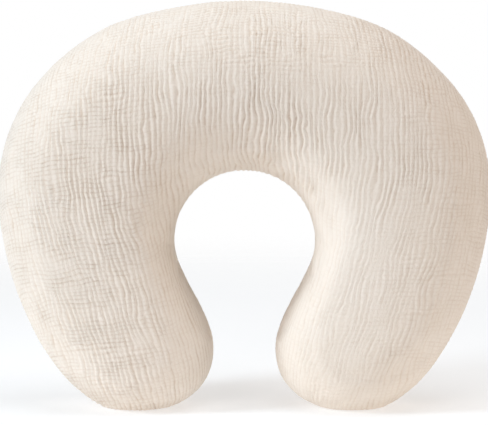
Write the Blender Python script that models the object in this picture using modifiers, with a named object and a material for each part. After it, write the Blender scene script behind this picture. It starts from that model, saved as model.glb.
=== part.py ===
"""Nursing pillow: a horseshoe cushion in a zipped cotton cover.

The pillow stands on the tips of its two legs, with the opening for the waist facing down.
Frame: +X across the legs, +Y to the back, +Z up. The origin is on the floor, midway between the feet.
All lengths are in metres and all angles in radians.

The whole body is one family of skins, each a set depth below the outside of the cover:
cover, room for the zip, casing, filling. Every layer is cut from a skin of its own depth.
The zip follows the crown, which is an arc, so its slider turns about the centre of that arc.
"""

import math

import bmesh
import bpy
from mathutils import Matrix, Vector
from mathutils.geometry import interpolate_bezier

# Overall form
WIDTH = 0.515
HEIGHT = 0.428
DEPTH = 0.150
CROWN_RADIUS = 0.395
CROWN_WIDTH = 0.174  # crown to throat, at the middle
WIDEST_HEIGHT = 0.228
THROAT_RADIUS = 0.0767
NARROWEST_GAP = 0.0704  # between the two legs
NARROWEST_HEIGHT = 0.0618
FOOT_SPACING = 0.2438  # between the middles of the two feet
FOOT_SQUASH = 0.005  # height of each round foot that standing presses flat
TIP_LENGTH = 0.078  # of each leg, over which its depth rounds off

# How far each curve of the outline runs on in its end directions, as shares of the way between its ends
SHOULDER_PULLS = (0.122, 0.537)
FLANK_PULLS = (0.385, 0.262)
NECK_PULLS = (0.322, 0.329)
SOLE_PULLS = (0.485, 0.334)

# Layers
GAP = 0.0004  # between touching layers
COVER_THICKNESS = 0.0012
ZIP_ROOM = 0.0028  # between the cover and the casing
CASING_THICKNESS = 0.0010
SEAM_GAP = 0.0004
COVER_SEAM_Y = 0.032
CASING_SEAM_Y = 0.0
THREAD_RADIUS = 0.0004
THREAD_BEND = math.radians(2)  # least bend at a point of a thread
LABEL_THICKNESS = 0.0004
LABEL_LENGTH = 0.028
LABEL_WIDTH = 0.024
LABEL_HEIGHT = 0.150  # of the labels' middles

# Zip
ZIP_OPENING = 0.245  # along the crown
TAPE_OVERRUN = 0.008  # of the tapes past each end of the opening
TAPE_WIDTH = 0.0132  # of one tape
TAPE_THICKNESS = 0.0007
CHAIN_SPLIT = 0.0016  # between the two coils, where the slider's post runs
COIL_WIDTH = 0.0022
COIL_HEIGHT = 0.0022
CLEARANCE = 0.0003
SLOT_MARGIN = 0.0009  # from the slider to each side of the opening
PLATE_THICKNESS = 0.0010
FLANGE_THICKNESS = 0.0010
SLIDER_LENGTH = 0.0100
POST_LENGTH = 0.0030
STOP_LENGTH = 0.0030
END_SPACE = 0.0015  # from each stop to the slider at the end of its travel

# Pull tab
BAR_RADIUS = 0.0006
BRIDGE_LENGTH = 0.0072
BRIDGE_WIDTH = 0.0020
BRIDGE_THICKNESS = 0.0008
PULL_LENGTH = 0.0260
PULL_WIDTH = 0.0062
PULL_THICKNESS = 0.0011

# Fineness of the skins
CROWN_STEPS = 6  # sections from the middle to the end of the crown
LEG_STEPS = 14  # sections from the end of the crown to the foot
CURVE_STEPS = 40
TURN_STEPS = 20  # along the zip

# Derived sizes
HALF_DEPTH = DEPTH / 2
CASING_DEPTH = COVER_THICKNESS + ZIP_ROOM
FILL_DEPTH = CASING_DEPTH + CASING_THICKNESS + GAP
TAPE_DEPTH = COVER_THICKNESS + GAP
TAPE_SPREAD = CHAIN_SPLIT / 2 + TAPE_WIDTH
SLIDER_HALF_WIDTH = CHAIN_SPLIT / 2 + COIL_WIDTH + CLEARANCE + FLANGE_THICKNESS
SLOT_HALF_WIDTH = SLIDER_HALF_WIDTH + SLOT_MARGIN
CROWN_CENTRE_Z = HEIGHT - CROWN_RADIUS


def ring_angle(y):
    """Angle around a section at which the skin is y behind the middle of the body."""
    return math.asin(y / HALF_DEPTH)


def crown_drop(angle):
    """Depth of the skin below the crown's arc at an angle around the section."""
    return CROWN_WIDTH / 2 * (1 - math.cos(angle))


# The zip lies on a flat strip of the skin, which is wide enough for both tapes.
STRIP_HALF_SPAN = TAPE_SPREAD * 0.93
STRIP_NEAR = ring_angle(COVER_SEAM_Y - STRIP_HALF_SPAN)
STRIP_FAR = ring_angle(COVER_SEAM_Y + STRIP_HALF_SPAN)
STRIP_TILT = math.atan2(crown_drop(STRIP_FAR) - crown_drop(STRIP_NEAR), 2 * STRIP_HALF_SPAN)
ZIP_RADIUS = CROWN_RADIUS - (crown_drop(STRIP_NEAR) + crown_drop(STRIP_FAR)) / 2
OPENING_ANGLE = ZIP_OPENING / ZIP_RADIUS
TAPE_ANGLE = (ZIP_OPENING + 2 * TAPE_OVERRUN) / ZIP_RADIUS
CROWN_HALF_ANGLE = TAPE_ANGLE / 2 + math.radians(0.6)
RING_ANGLES = [0, STRIP_NEAR, STRIP_FAR, *(math.radians(a) for a in (63, 90, 117, 139, 160)), math.pi]

# Heights above the strip, along its normal
TAPE_TOP = -TAPE_DEPTH
TAPE_BASE = TAPE_TOP - TAPE_THICKNESS
COIL_BASE = TAPE_TOP + CLEARANCE
COIL_TOP = COIL_BASE + COIL_HEIGHT
TOP_PLATE_BASE = COIL_TOP + CLEARANCE
TOP_PLATE_TOP = TOP_PLATE_BASE + PLATE_THICKNESS
LOWER_PLATE_TOP = TAPE_BASE - CLEARANCE
LOWER_PLATE_BASE = LOWER_PLATE_TOP - PLATE_THICKNESS * 0.8
BAR_HEIGHT = TOP_PLATE_TOP + CLEARANCE + BAR_RADIUS
BRIDGE_BASE = BAR_HEIGHT + BAR_RADIUS + CLEARANCE

# Places along the zip, as angles about the crown's centre from the middle towards +X
END_STOP_ANGLE = OPENING_ANGLE / 2 - STOP_LENGTH / ZIP_RADIUS
SLIDER_REST_ANGLE = END_STOP_ANGLE - (STOP_LENGTH / 2 + END_SPACE + SLIDER_LENGTH / 2) / ZIP_RADIUS

CREAM = (0.80, 0.71, 0.61)
CALICO = (0.86, 0.83, 0.78)
POLYESTER = (0.90, 0.90, 0.90)
SATIN = (0.92, 0.91, 0.88)
NYLON = (0.83, 0.76, 0.67)


def clear_scene():
    """Remove every object from the scene."""
    for old in list(bpy.data.objects):
        bpy.data.objects.remove(old, do_unlink=True)


def new_collection(name):
    """Add a collection to the scene."""
    collection = bpy.data.collections.new(name)
    bpy.context.scene.collection.children.link(collection)
    return collection


def new_material(name, colour, roughness, metallic=0.0):
    """Make a plain Principled material."""
    material = bpy.data.materials.new(name)
    material.use_nodes = True
    shader = material.node_tree.nodes["Principled BSDF"]
    shader.inputs["Base Color"].default_value = (*colour, 1.0)
    shader.inputs["Roughness"].default_value = roughness
    shader.inputs["Metallic"].default_value = metallic
    return material


def new_object(collection, name, bm, material=None, smooth=True):
    """Turn a bmesh into an object of the collection."""
    mesh = bpy.data.meshes.new(name)
    bm.to_mesh(mesh)
    bm.free()
    if smooth:
        mesh.shade_smooth()
        mesh.set_sharp_from_angle(angle=math.radians(40))
    if material:
        mesh.materials.append(material)
    made = bpy.data.objects.new(name, mesh)
    collection.objects.link(made)
    return made


def new_cutter(collection, name, bm):
    """Make an object that only cuts others."""
    cutter = new_object(collection, name, bm, smooth=False)
    cutter.hide_render = True
    cutter.display_type = "WIRE"
    return cutter


def add_boolean(target, tool, operation):
    """Add an exact Boolean modifier."""
    boolean = target.modifiers.new(tool.name, "BOOLEAN")
    boolean.operation = operation
    boolean.object = tool
    boolean.solver = "EXACT"


def arc(centre_z, radius, end_angle, steps):
    """Points of an arc in the XZ plane, from straight above its centre towards +X."""
    angles = [end_angle * i / steps for i in range(steps + 1)]
    return [Vector((radius * math.sin(a), 0, centre_z + radius * math.cos(a))) for a in angles]


def curve(start, start_way, end, end_way, pulls):
    """Points of a Bezier curve that leaves start along start_way and arrives at end along end_way."""
    distance = (end - start).length
    near = start + Vector(start_way).normalized() * distance * pulls[0]
    far = end - Vector(end_way).normalized() * distance * pulls[1]
    return list(interpolate_bezier(start, near, far, end, CURVE_STEPS))


def walk(points, steps):
    """Points at equal distances along a line of points."""
    lengths = [0.0]
    for a, b in zip(points, points[1:]):
        lengths.append(lengths[-1] + (b - a).length)
    found = []
    place = 0
    for i in range(steps + 1):
        target = lengths[-1] * i / steps
        while place < len(points) - 2 and lengths[place + 1] < target:
            place += 1
        share = (target - lengths[place]) / (lengths[place + 1] - lengths[place])
        found.append(points[place].lerp(points[place + 1], share))
    return found


def foot_point():
    """Lowest point of the right leg before standing presses it flat."""
    return Vector((FOOT_SPACING / 2, 0, -FOOT_SQUASH))


def outer_outline():
    """Outer edge of the right half, from the end of the crown down to the foot."""
    crown_end = arc(CROWN_CENTRE_Z, CROWN_RADIUS, CROWN_HALF_ANGLE, 1)[-1]
    along = (math.cos(CROWN_HALF_ANGLE), 0, -math.sin(CROWN_HALF_ANGLE))
    widest = Vector((WIDTH / 2, 0, WIDEST_HEIGHT))
    shoulder = curve(crown_end, along, widest, (0, 0, -1), SHOULDER_PULLS)
    flank = curve(widest, (0, 0, -1), foot_point(), (-1, 0, 0), FLANK_PULLS)
    return shoulder + flank[1:]


def inner_outline():
    """Inner edge of the right half, from the throat's top down to the foot."""
    centre_z = HEIGHT - CROWN_WIDTH - THROAT_RADIUS
    throat = arc(centre_z, THROAT_RADIUS, math.pi / 2, CURVE_STEPS)
    narrowest = Vector((NARROWEST_GAP / 2, 0, NARROWEST_HEIGHT))
    neck = curve(throat[-1], (0, 0, -1), narrowest, (0, 0, -1), NECK_PULLS)
    sole = curve(narrowest, (0, 0, -1), foot_point(), (1, 0, 0), SOLE_PULLS)
    return throat + neck[1:] + sole[1:]


def throat_angle(crown_angle):
    """Angle around the throat at which a line to the crown's centre crosses it."""
    rise = HEIGHT - CROWN_WIDTH - THROAT_RADIUS - CROWN_CENTRE_Z
    return crown_angle + math.asin(rise * math.sin(crown_angle) / THROAT_RADIUS)


def sections():
    """Outer and inner end of each section of the right half, from the middle to just above the foot."""
    throat_z = HEIGHT - CROWN_WIDTH - THROAT_RADIUS
    pairs = []
    for i in range(CROWN_STEPS):
        angle = CROWN_HALF_ANGLE * i / CROWN_STEPS
        outer = arc(CROWN_CENTRE_Z, CROWN_RADIUS, angle, 1)[-1]
        inner = arc(throat_z, THROAT_RADIUS, throat_angle(angle), 1)[-1]
        pairs.append((outer, inner, HALF_DEPTH))
    inner_line = inner_outline()
    passed = round(CURVE_STEPS * throat_angle(CROWN_HALF_ANGLE) / (math.pi / 2))
    outer_points = walk(outer_outline(), LEG_STEPS)
    inner_points = walk(inner_line[passed:], LEG_STEPS)
    leg_length = (inner_points[0] - foot_point()).length
    for i in range(LEG_STEPS):
        to_foot = leg_length * (1 - i / LEG_STEPS)
        half_depth = HALF_DEPTH * math.sin(min(to_foot / TIP_LENGTH, 1.0) * math.pi / 2)
        pairs.append((outer_points[i], inner_points[i], half_depth))
    return pairs


def section_ring(outer, inner, half_depth):
    """Points around one section, from its outer end over the back to its inner end and round the front."""
    across = inner - outer
    way = across.normalized()
    radius = min(across.length, CROWN_WIDTH) / 2
    surplus = across.length - 2 * radius
    back = []
    for angle in RING_ANGLES:
        middle = min(max((angle / math.pi - 1 / 3) * 3, 0.0), 1.0)
        middle = middle * middle * (3 - 2 * middle)
        run = radius * (1 - math.cos(angle)) + surplus * middle
        back.append(outer + way * run + Vector((0, half_depth * math.sin(angle), 0)))
    front = [Vector((p.x, -p.y, p.z)) for p in reversed(back[1:-1])]
    return back + front


def mirrored(point):
    """The same point on the left half."""
    return Vector((-point.x, point.y, point.z))


def body_skin(depth):
    """Closed skin of the whole body, at a depth below the outside of the cover."""
    right = [section_ring(*pair) for pair in sections()]
    left = [[mirrored(p) for p in ring] for ring in reversed(right[1:])]
    bm = bmesh.new()
    rings = [[bm.verts.new(p) for p in ring] for ring in left + right]
    for place, (ring, following) in enumerate(zip(rings, rings[1:])):
        for i in range(len(ring)):
            corners = (ring[i - 1], ring[i], following[i], following[i - 1])
            if place < len(left):  # the two halves split their faces alike
                corners = corners[1:] + corners[:1]
            bm.faces.new(corners)
    for ring, tip in ((rings[0], mirrored(foot_point())), (rings[-1], foot_point())):
        pole = bm.verts.new(tip)
        for i in range(len(ring)):
            bm.faces.new((ring[i - 1], ring[i], pole))
    for vert in bm.verts:
        vert.co.z = max(vert.co.z, 0.0)
    bmesh.ops.triangulate(bm, faces=bm.faces, quad_method="FIXED")
    bmesh.ops.recalc_face_normals(bm, faces=bm.faces)
    bm.normal_update()
    moves = [vert.normal * (depth * vert.calc_shell_factor()) for vert in bm.verts]
    for vert, move in zip(bm.verts, moves):
        vert.co -= move
    return bm


def keep_side(bm, point, way):
    """Cut a skin with a plane and keep what lies on the side that way points to."""
    geometry = [*bm.verts, *bm.edges, *bm.faces]
    bmesh.ops.bisect_plane(bm, geom=geometry, plane_co=point, plane_no=way, clear_inner=True)


def thicken(made, thickness):
    """Give an open skin its thickness, inwards."""
    solidify = made.modifiers.new("thickness", "SOLIDIFY")
    solidify.thickness = thickness
    solidify.offset = -1
    solidify.use_even_offset = True


def panel(collection, name, depth, hollow, seam_y, side, material):
    """One of the two panels of a layer, which the hollow empties: side is 1 for the back and -1 for the front."""
    bm = body_skin(depth)
    keep_side(bm, (0, seam_y + side * SEAM_GAP / 2, 0), (0, side, 0))
    bmesh.ops.holes_fill(bm, edges=[edge for edge in bm.edges if edge.is_boundary])
    made = new_object(collection, name, bm, material)
    add_boolean(made, hollow, "DIFFERENCE")
    return made


def label(collection, name, depth, seam_y, side, material):
    """A blank label that lies on a skin behind its seam: side is 1 for the right leg."""
    bm = body_skin(depth)
    keep_side(bm, (0, seam_y + SEAM_GAP, 0), (0, 1, 0))
    keep_side(bm, (0, seam_y + LABEL_LENGTH, 0), (0, -1, 0))
    keep_side(bm, (0, 0, LABEL_HEIGHT - LABEL_WIDTH / 2), (0, 0, 1))
    keep_side(bm, (0, 0, LABEL_HEIGHT + LABEL_WIDTH / 2), (0, 0, -1))
    keep_side(bm, (side * WIDTH * 0.35, 0, 0), (side, 0, 0))
    made = new_object(collection, name, bm, material)
    thicken(made, LABEL_THICKNESS)
    return made


def seam_line(seam_y):
    """Points along a seam in order, halfway down the room for the zip, from the lowest one on the left."""
    bm = body_skin(COVER_THICKNESS + ZIP_ROOM / 2)
    keep_side(bm, (0, seam_y, 0), (0, 1, 0))
    rim = [vert for vert in bm.verts if vert.is_boundary]
    start = min(rim, key=lambda vert: (round(vert.co.z, 4), vert.co.x))
    ordered = [start]
    seen = {start}
    while True:
        edges = [edge for edge in ordered[-1].link_edges if edge.is_boundary]
        following = [edge.other_vert(ordered[-1]) for edge in edges]
        following = [vert for vert in following if vert not in seen]
        if not following:
            break
        ordered.append(following[0])
        seen.add(following[0])
    points = [start.co.copy()]
    for vert, following in zip(ordered[1:], ordered[2:] + [start]):
        if (vert.co - points[-1]).angle(following.co - vert.co, 0.0) > THREAD_BEND:
            points.append(vert.co.copy())
    bm.free()
    return points


def tube(collection, name, points, radius, closed, material):
    """A round thread along a line of points."""
    data = bpy.data.curves.new(name, "CURVE")
    data.dimensions = "3D"
    data.bevel_depth = radius
    data.bevel_resolution = 2
    data.use_fill_caps = True
    spline = data.splines.new("POLY")
    spline.points.add(len(points) - 1)
    for place, point in zip(spline.points, points):
        place.co = (*point, 1.0)
    spline.use_cyclic_u = closed
    data.materials.append(material)
    made = bpy.data.objects.new(name, data)
    collection.objects.link(made)
    return made


def cover_thread(collection, material):
    """The thread of the cover's seam, which stops where the zip begins."""
    points = seam_line(COVER_SEAM_Y)
    limit = TAPE_ANGLE / 2

    def beside_zip(point):
        angle = math.atan2(point.x, point.z - CROWN_CENTRE_Z)
        return abs(angle) < limit and point.z > HEIGHT - CROWN_WIDTH / 2

    first = next(i for i, p in enumerate(points) if beside_zip(p) and not beside_zip(points[i - 1]))
    turned = points[first:] + points[:first]
    line = [p for p in turned if not beside_zip(p)]
    return tube(collection, "cover_seam_thread", line, THREAD_RADIUS, False, material)


def casing_thread(collection, material):
    """The thread of the casing's seam, which runs all round it."""
    return tube(collection, "casing_seam_thread", seam_line(CASING_SEAM_Y), THREAD_RADIUS, True, material)


def strip_point(across, up):
    """Point of the zip's cross-section at the middle of the crown, measured from the seam."""
    y = COVER_SEAM_Y + across * math.cos(STRIP_TILT) + up * math.sin(STRIP_TILT)
    radius = ZIP_RADIUS - across * math.sin(STRIP_TILT) + up * math.cos(STRIP_TILT)
    return Vector((0, y, CROWN_CENTRE_Z + radius))


def strip_frame(angle):
    """Placement on the zip: X along it towards +X, Y across it to the back, Z out of the cover."""
    turn = Matrix.Rotation(angle, 4, "Y")
    centre = Vector((0, 0, CROWN_CENTRE_Z))
    tilt = Matrix.Rotation(-STRIP_TILT, 4, "X")
    seam = strip_point(0, 0) - centre
    return Matrix.Translation(centre) @ turn @ Matrix.Translation(seam) @ tilt


def turned_bar(corners, total_angle):
    """A bar that follows the zip: corners are its section's (across, up) places."""
    bm = bmesh.new()
    start = Matrix.Rotation(-total_angle / 2, 4, "Y")
    centre = Vector((0, 0, CROWN_CENTRE_Z))
    verts = [bm.verts.new(centre + start @ (strip_point(*corner) - centre)) for corner in corners]
    face = bm.faces.new(verts)
    bmesh.ops.spin(
        bm,
        geom=[face, *face.edges, *face.verts],
        cent=centre,
        axis=(0, 1, 0),
        angle=total_angle,
        steps=TURN_STEPS,
        use_merge=False,
        use_duplicate=False,
    )
    bmesh.ops.holes_fill(bm, edges=[edge for edge in bm.edges if edge.is_boundary])
    bmesh.ops.recalc_face_normals(bm, faces=bm.faces)
    return bm


def rectangle(near, far, low, high):
    """Corners of a rectangle in the zip's cross-section."""
    return [(near, low), (far, low), (far, high), (near, high)]


def zip_tape(collection, name, side, material):
    """One half of the zip's tape."""
    near, far = sorted((side * CHAIN_SPLIT / 2, side * TAPE_SPREAD))
    bm = turned_bar(rectangle(near, far, TAPE_BASE, TAPE_TOP), TAPE_ANGLE)
    return new_object(collection, name, bm, material)


def zip_coil(collection, name, side, material):
    """One half of the zip's coil, with its top edges rounded off."""
    near = CHAIN_SPLIT / 2
    far = near + COIL_WIDTH
    corner = COIL_HEIGHT * 0.25
    outline = [
        (near, COIL_BASE),
        (far, COIL_BASE),
        (far, COIL_TOP - corner),
        (far - corner, COIL_TOP),
        (near + corner, COIL_TOP),
        (near, COIL_TOP - corner),
    ]
    bm = turned_bar([(side * across, up) for across, up in outline], coil_angle())
    return new_object(collection, name, bm, material)


def coil_angle():
    """Length of the coils as an angle: from the bottom stop to the top stops."""
    return 2 * END_STOP_ANGLE - (STOP_LENGTH + 2 * CLEARANCE) / ZIP_RADIUS


def slot_cutter(collection):
    """The opening for the zip, along the crown through the cover."""
    low = -(COVER_THICKNESS + ZIP_ROOM / 2)
    high = DEPTH * 0.1
    bm = turned_bar(rectangle(-SLOT_HALF_WIDTH, SLOT_HALF_WIDTH, low, high), OPENING_ANGLE)
    return new_cutter(collection, "zip_slot", bm)


def block(x_size, near, far, low, high, x_middle=0.0):
    """A box on the zip, x_size long, between two places across it and two heights."""
    bm = bmesh.new()
    bmesh.ops.create_cube(bm, size=1.0)
    size = Matrix.Diagonal((x_size, far - near, high - low, 1.0))
    place = Matrix.Translation((x_middle, (near + far) / 2, (low + high) / 2))
    bmesh.ops.transform(bm, matrix=place @ size, verts=bm.verts)
    return bm


def stop(collection, name, angle, near, far, material):
    """A small clamp at the end of a coil."""
    made = new_object(collection, name, block(STOP_LENGTH, near, far, COIL_BASE, COIL_TOP), material)
    made.matrix_world = strip_frame(angle)
    soften(made, STOP_LENGTH * 0.15)
    return made


def soften(made, width):
    """Round the edges of a small part."""
    bevel = made.modifiers.new("soft edges", "BEVEL")
    bevel.width = width
    bevel.segments = 1
    bevel.limit_method = "ANGLE"


def slider_plate(low, high, taper):
    """A plate of the slider, wide at the mouths and narrow where the closed chain leaves it."""
    bm = block(SLIDER_LENGTH, -SLIDER_HALF_WIDTH, SLIDER_HALF_WIDTH, low, high)
    for vert in bm.verts:
        if vert.co.x < 0:
            vert.co.y *= taper
    return bm


def bridge_outline():
    """Half-section of the bridge over the pull tab's bar, as (along, up) places."""
    reach = BRIDGE_LENGTH / 2
    sunk = TOP_PLATE_TOP - PLATE_THICKNESS / 2
    outer = [(-reach, sunk), (-reach, BRIDGE_BASE), (-reach * 0.7, BRIDGE_BASE + BRIDGE_THICKNESS)]
    inner_reach = reach - BRIDGE_THICKNESS
    inner = [(-inner_reach * 0.85, BRIDGE_BASE), (-inner_reach, BRIDGE_BASE - BRIDGE_THICKNESS)]
    left = [(-inner_reach, sunk), *reversed(inner)]
    whole_outer = outer + [(-x, z) for x, z in reversed(outer)]
    whole_inner = [(-x, z) for x, z in left] + list(reversed(left))
    return whole_outer + whole_inner


def slider_bridge():
    """The arch on top of the slider that holds the pull tab."""
    bm = bmesh.new()
    outline = [bm.verts.new((x, -BRIDGE_WIDTH / 2, z)) for x, z in bridge_outline()]
    face = bm.faces.new(outline)
    grown = bmesh.ops.extrude_face_region(bm, geom=[face])
    moved = [part for part in grown["geom"] if isinstance(part, bmesh.types.BMVert)]
    bmesh.ops.translate(bm, vec=(0, BRIDGE_WIDTH, 0), verts=moved)
    bmesh.ops.recalc_face_normals(bm, faces=bm.faces)
    return bm


def zip_slider(collection, cutters, material):
    """The slider: two plates joined by a post, flanges beside the coils and a bridge on top."""
    frame = strip_frame(SLIDER_REST_ANGLE)
    made = new_object(collection, "zip_slider", slider_plate(TOP_PLATE_BASE, TOP_PLATE_TOP, 1.0), material)
    flange_inner = SLIDER_HALF_WIDTH - FLANGE_THICKNESS
    sunk = TOP_PLATE_BASE + PLATE_THICKNESS / 2
    post_place = SLIDER_LENGTH / 2 - POST_LENGTH / 2 - CLEARANCE
    post_half = CHAIN_SPLIT / 2 - CLEARANCE
    lower_sunk = LOWER_PLATE_TOP - PLATE_THICKNESS * 0.4
    flange_low = TAPE_TOP + CLEARANCE
    flange_length = SLIDER_LENGTH - 2 * CLEARANCE
    outside = SLIDER_HALF_WIDTH - CLEARANCE / 2
    tools = {
        "slider_flange_front": block(flange_length, -outside, -flange_inner, flange_low, sunk),
        "slider_flange_back": block(flange_length, flange_inner, outside, flange_low, sunk),
        "slider_post": block(POST_LENGTH, -post_half, post_half, lower_sunk, sunk, post_place),
        "slider_lower_plate": slider_plate(LOWER_PLATE_BASE, LOWER_PLATE_TOP, 0.8),
        "slider_bridge": slider_bridge(),
    }
    made.matrix_world = frame
    for name, bm in tools.items():
        tool = new_cutter(cutters, name, bm)
        tool.matrix_world = frame
        add_boolean(made, tool, "UNION")
    return made


def pull_plate():
    """Flat plate of the pull tab, with its window and a hole at the far end, seen from above."""
    data = bpy.data.curves.new("pull_plate", "CURVE")
    data.dimensions = "2D"
    data.fill_mode = "BOTH"
    data.extrude = PULL_THICKNESS / 2
    half = PULL_WIDTH / 2
    start = BAR_RADIUS
    end_centre = PULL_LENGTH - half
    tip = [(-end_centre - half * math.sin(a), half * math.cos(a)) for a in half_turn(8)]
    add_outline(data, [(start, half), *tip, (start, -half)])
    window_half = BRIDGE_WIDTH / 2 + CLEARANCE
    near = -BAR_RADIUS
    far = -(BRIDGE_LENGTH / 2 + 2 * CLEARANCE)
    add_outline(data, [(near, window_half), (far, window_half), (far, -window_half), (near, -window_half)])
    hole = half * 0.45
    add_outline(data, [(-end_centre + hole * math.cos(a), hole * math.sin(a)) for a in full_turn(12)])
    return data


def half_turn(steps):
    """Angles of half a turn."""
    return [math.pi * i / steps for i in range(steps + 1)]


def full_turn(steps):
    """Angles of a full turn."""
    return [2 * math.pi * i / steps for i in range(steps)]


def add_outline(data, points):
    """Add a closed outline to a flat curve."""
    spline = data.splines.new("POLY")
    spline.points.add(len(points) - 1)
    for place, (x, y) in zip(spline.points, points):
        place.co = (x, y, 0, 1)
    spline.use_cyclic_u = True


def pull_tab(collection, material):
    """The pull tab, whose bar turns under the slider's bridge: it lies over the closed chain."""
    data = pull_plate()
    flat = bpy.data.objects.new("pull_plate", data)
    collection.objects.link(flat)
    mesh = bpy.data.meshes.new_from_object(flat.evaluated_get(bpy.context.evaluated_depsgraph_get()))
    bpy.data.objects.remove(flat)
    bm = bmesh.new()
    bm.from_mesh(mesh)
    bmesh.ops.remove_doubles(bm, verts=bm.verts, dist=0.00001)
    bmesh.ops.recalc_face_normals(bm, faces=bm.faces)
    made = new_object(collection, "zip_pull_tab", bm, material)
    bpy.data.meshes.remove(mesh)
    made.matrix_world = strip_frame(SLIDER_REST_ANGLE) @ Matrix.Translation((0, 0, BAR_HEIGHT))
    return made


def build_cover(parts, cutters, cotton, thread, satin):
    """The cover: two panels, their thread, and a blank care label."""
    hollow = new_cutter(cutters, "inside_of_cover", body_skin(COVER_THICKNESS))
    slot = slot_cutter(cutters)
    for name, side in (("cover_front_panel", -1), ("cover_back_panel", 1)):
        made = panel(parts, name, 0.0, hollow, COVER_SEAM_Y, side, cotton)
        add_boolean(made, slot, "DIFFERENCE")
    cover_thread(parts, thread)
    label(parts, "care_label", -(CLEARANCE + LABEL_THICKNESS), COVER_SEAM_Y, 1, satin)


def build_cushion(parts, cutters, calico, thread, satin, polyester):
    """The cushion inside: two casing panels, their thread, a blank label and the filling."""
    hollow = new_cutter(cutters, "inside_of_casing", body_skin(CASING_DEPTH + CASING_THICKNESS))
    for name, side in (("casing_front_panel", -1), ("casing_back_panel", 1)):
        panel(parts, name, CASING_DEPTH, hollow, CASING_SEAM_Y, side, calico)
    casing_thread(parts, thread)
    label(parts, "casing_label", CASING_DEPTH - CLEARANCE - LABEL_THICKNESS, CASING_SEAM_Y, -1, satin)
    new_object(parts, "fibre_fill", body_skin(FILL_DEPTH), polyester)


def build_zip(parts, cutters, nylon):
    """The zip: tapes, coils, stops, slider and pull tab."""
    coil_far = CHAIN_SPLIT / 2 + COIL_WIDTH
    for word, side in (("front", -1), ("back", 1)):
        zip_tape(parts, f"zip_tape_{word}", side, nylon)
        zip_coil(parts, f"zip_coil_{word}", side, nylon)
        near, far = sorted((side * CHAIN_SPLIT / 2, side * coil_far))
        stop(parts, f"zip_top_stop_{word}", END_STOP_ANGLE, near, far, nylon)
    stop(parts, "zip_bottom_stop", -END_STOP_ANGLE, -coil_far, coil_far, nylon)
    zip_slider(parts, cutters, nylon)
    pull_tab(parts, nylon)


def main():
    """Build the pillow."""
    clear_scene()
    parts = new_collection("nursing_pillow")
    cutters = new_collection("cutters")
    cotton = new_material("crinkled cotton", CREAM, 0.95)
    calico = new_material("calico", CALICO, 0.9)
    polyester = new_material("polyester fibre", POLYESTER, 0.95)
    satin = new_material("satin", SATIN, 0.5)
    nylon = new_material("nylon", NYLON, 0.45)
    build_cover(parts, cutters, cotton, cotton, satin)
    build_cushion(parts, cutters, calico, cotton, satin, polyester)
    build_zip(parts, cutters, nylon)


main()
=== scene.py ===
"""Nursing pillow: the finished look of a horseshoe cushion in a zipped cover of crinkled cotton.

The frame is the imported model: +X across the legs, +Y to the back, +Z up, the floor at z = 0.
All lengths are in metres and all angles in radians.
"""

import logging
import math
from collections.abc import Sequence
from dataclasses import dataclass, field
from enum import Enum

import bpy
import numpy as np
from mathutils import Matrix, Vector
from mathutils.bvhtree import BVHTree


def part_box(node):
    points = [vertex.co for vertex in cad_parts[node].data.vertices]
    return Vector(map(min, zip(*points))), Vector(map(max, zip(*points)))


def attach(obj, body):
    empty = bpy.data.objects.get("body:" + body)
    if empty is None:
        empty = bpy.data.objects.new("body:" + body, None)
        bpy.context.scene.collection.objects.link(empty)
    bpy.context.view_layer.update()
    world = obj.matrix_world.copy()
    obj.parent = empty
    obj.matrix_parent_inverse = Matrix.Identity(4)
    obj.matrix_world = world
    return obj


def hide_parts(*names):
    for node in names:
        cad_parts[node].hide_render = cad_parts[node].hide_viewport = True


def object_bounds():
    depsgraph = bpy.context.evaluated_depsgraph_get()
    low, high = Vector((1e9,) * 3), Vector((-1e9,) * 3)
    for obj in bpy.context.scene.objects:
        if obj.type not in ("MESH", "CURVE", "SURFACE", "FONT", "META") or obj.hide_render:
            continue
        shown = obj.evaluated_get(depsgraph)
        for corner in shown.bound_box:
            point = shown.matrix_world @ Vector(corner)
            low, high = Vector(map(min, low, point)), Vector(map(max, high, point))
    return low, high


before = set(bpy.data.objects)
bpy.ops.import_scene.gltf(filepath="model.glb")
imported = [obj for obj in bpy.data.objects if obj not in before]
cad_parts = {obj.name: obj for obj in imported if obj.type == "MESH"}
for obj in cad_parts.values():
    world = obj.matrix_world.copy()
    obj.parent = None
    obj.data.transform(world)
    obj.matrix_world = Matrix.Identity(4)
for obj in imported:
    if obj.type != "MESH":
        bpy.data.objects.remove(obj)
CAD_LOW, CAD_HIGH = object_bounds()
LOG = logging.getLogger("nursing_pillow")
TURN = 2 * math.pi
PILLOW_BODY = "pillow"  # what every made piece rides on


class Side(Enum):
    """Which half of a layer a panel is."""

    FRONT = -1
    BACK = 1


# ---------------------------------------------------------------- numbers


def ease(value: np.ndarray) -> np.ndarray:
    """Smooth step of a value held between 0 and 1."""
    held = np.clip(value, 0.0, 1.0)
    return held * held * (3 - 2 * held)


def unit(vectors: np.ndarray) -> np.ndarray:
    """Vectors of length 1 along the last axis."""
    return vectors / np.maximum(np.linalg.norm(vectors, axis=-1, keepdims=True), 1e-12)


@dataclass(frozen=True)
class Noise:
    """Smooth seeded noise over a plane, from -1 to 1."""

    seed: int
    cells: int = 128

    def at(self, across: np.ndarray, along: np.ndarray) -> np.ndarray:
        """Value at places measured in cells.

        Args:
            across: first coordinate.
            along: second coordinate.

        Returns:
            The noise at each place.
        """
        table = np.random.default_rng(self.seed).uniform(-1, 1, (self.cells, self.cells))
        left, low = np.floor(across).astype(int), np.floor(along).astype(int)
        right_share, high_share = ease(across - left), ease(along - low)
        left, low = left % self.cells, low % self.cells
        right, high = (left + 1) % self.cells, (low + 1) % self.cells
        lower = table[left, low] * (1 - right_share) + table[right, low] * right_share
        upper = table[left, high] * (1 - right_share) + table[right, high] * right_share
        return lower * (1 - high_share) + upper * high_share


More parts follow.
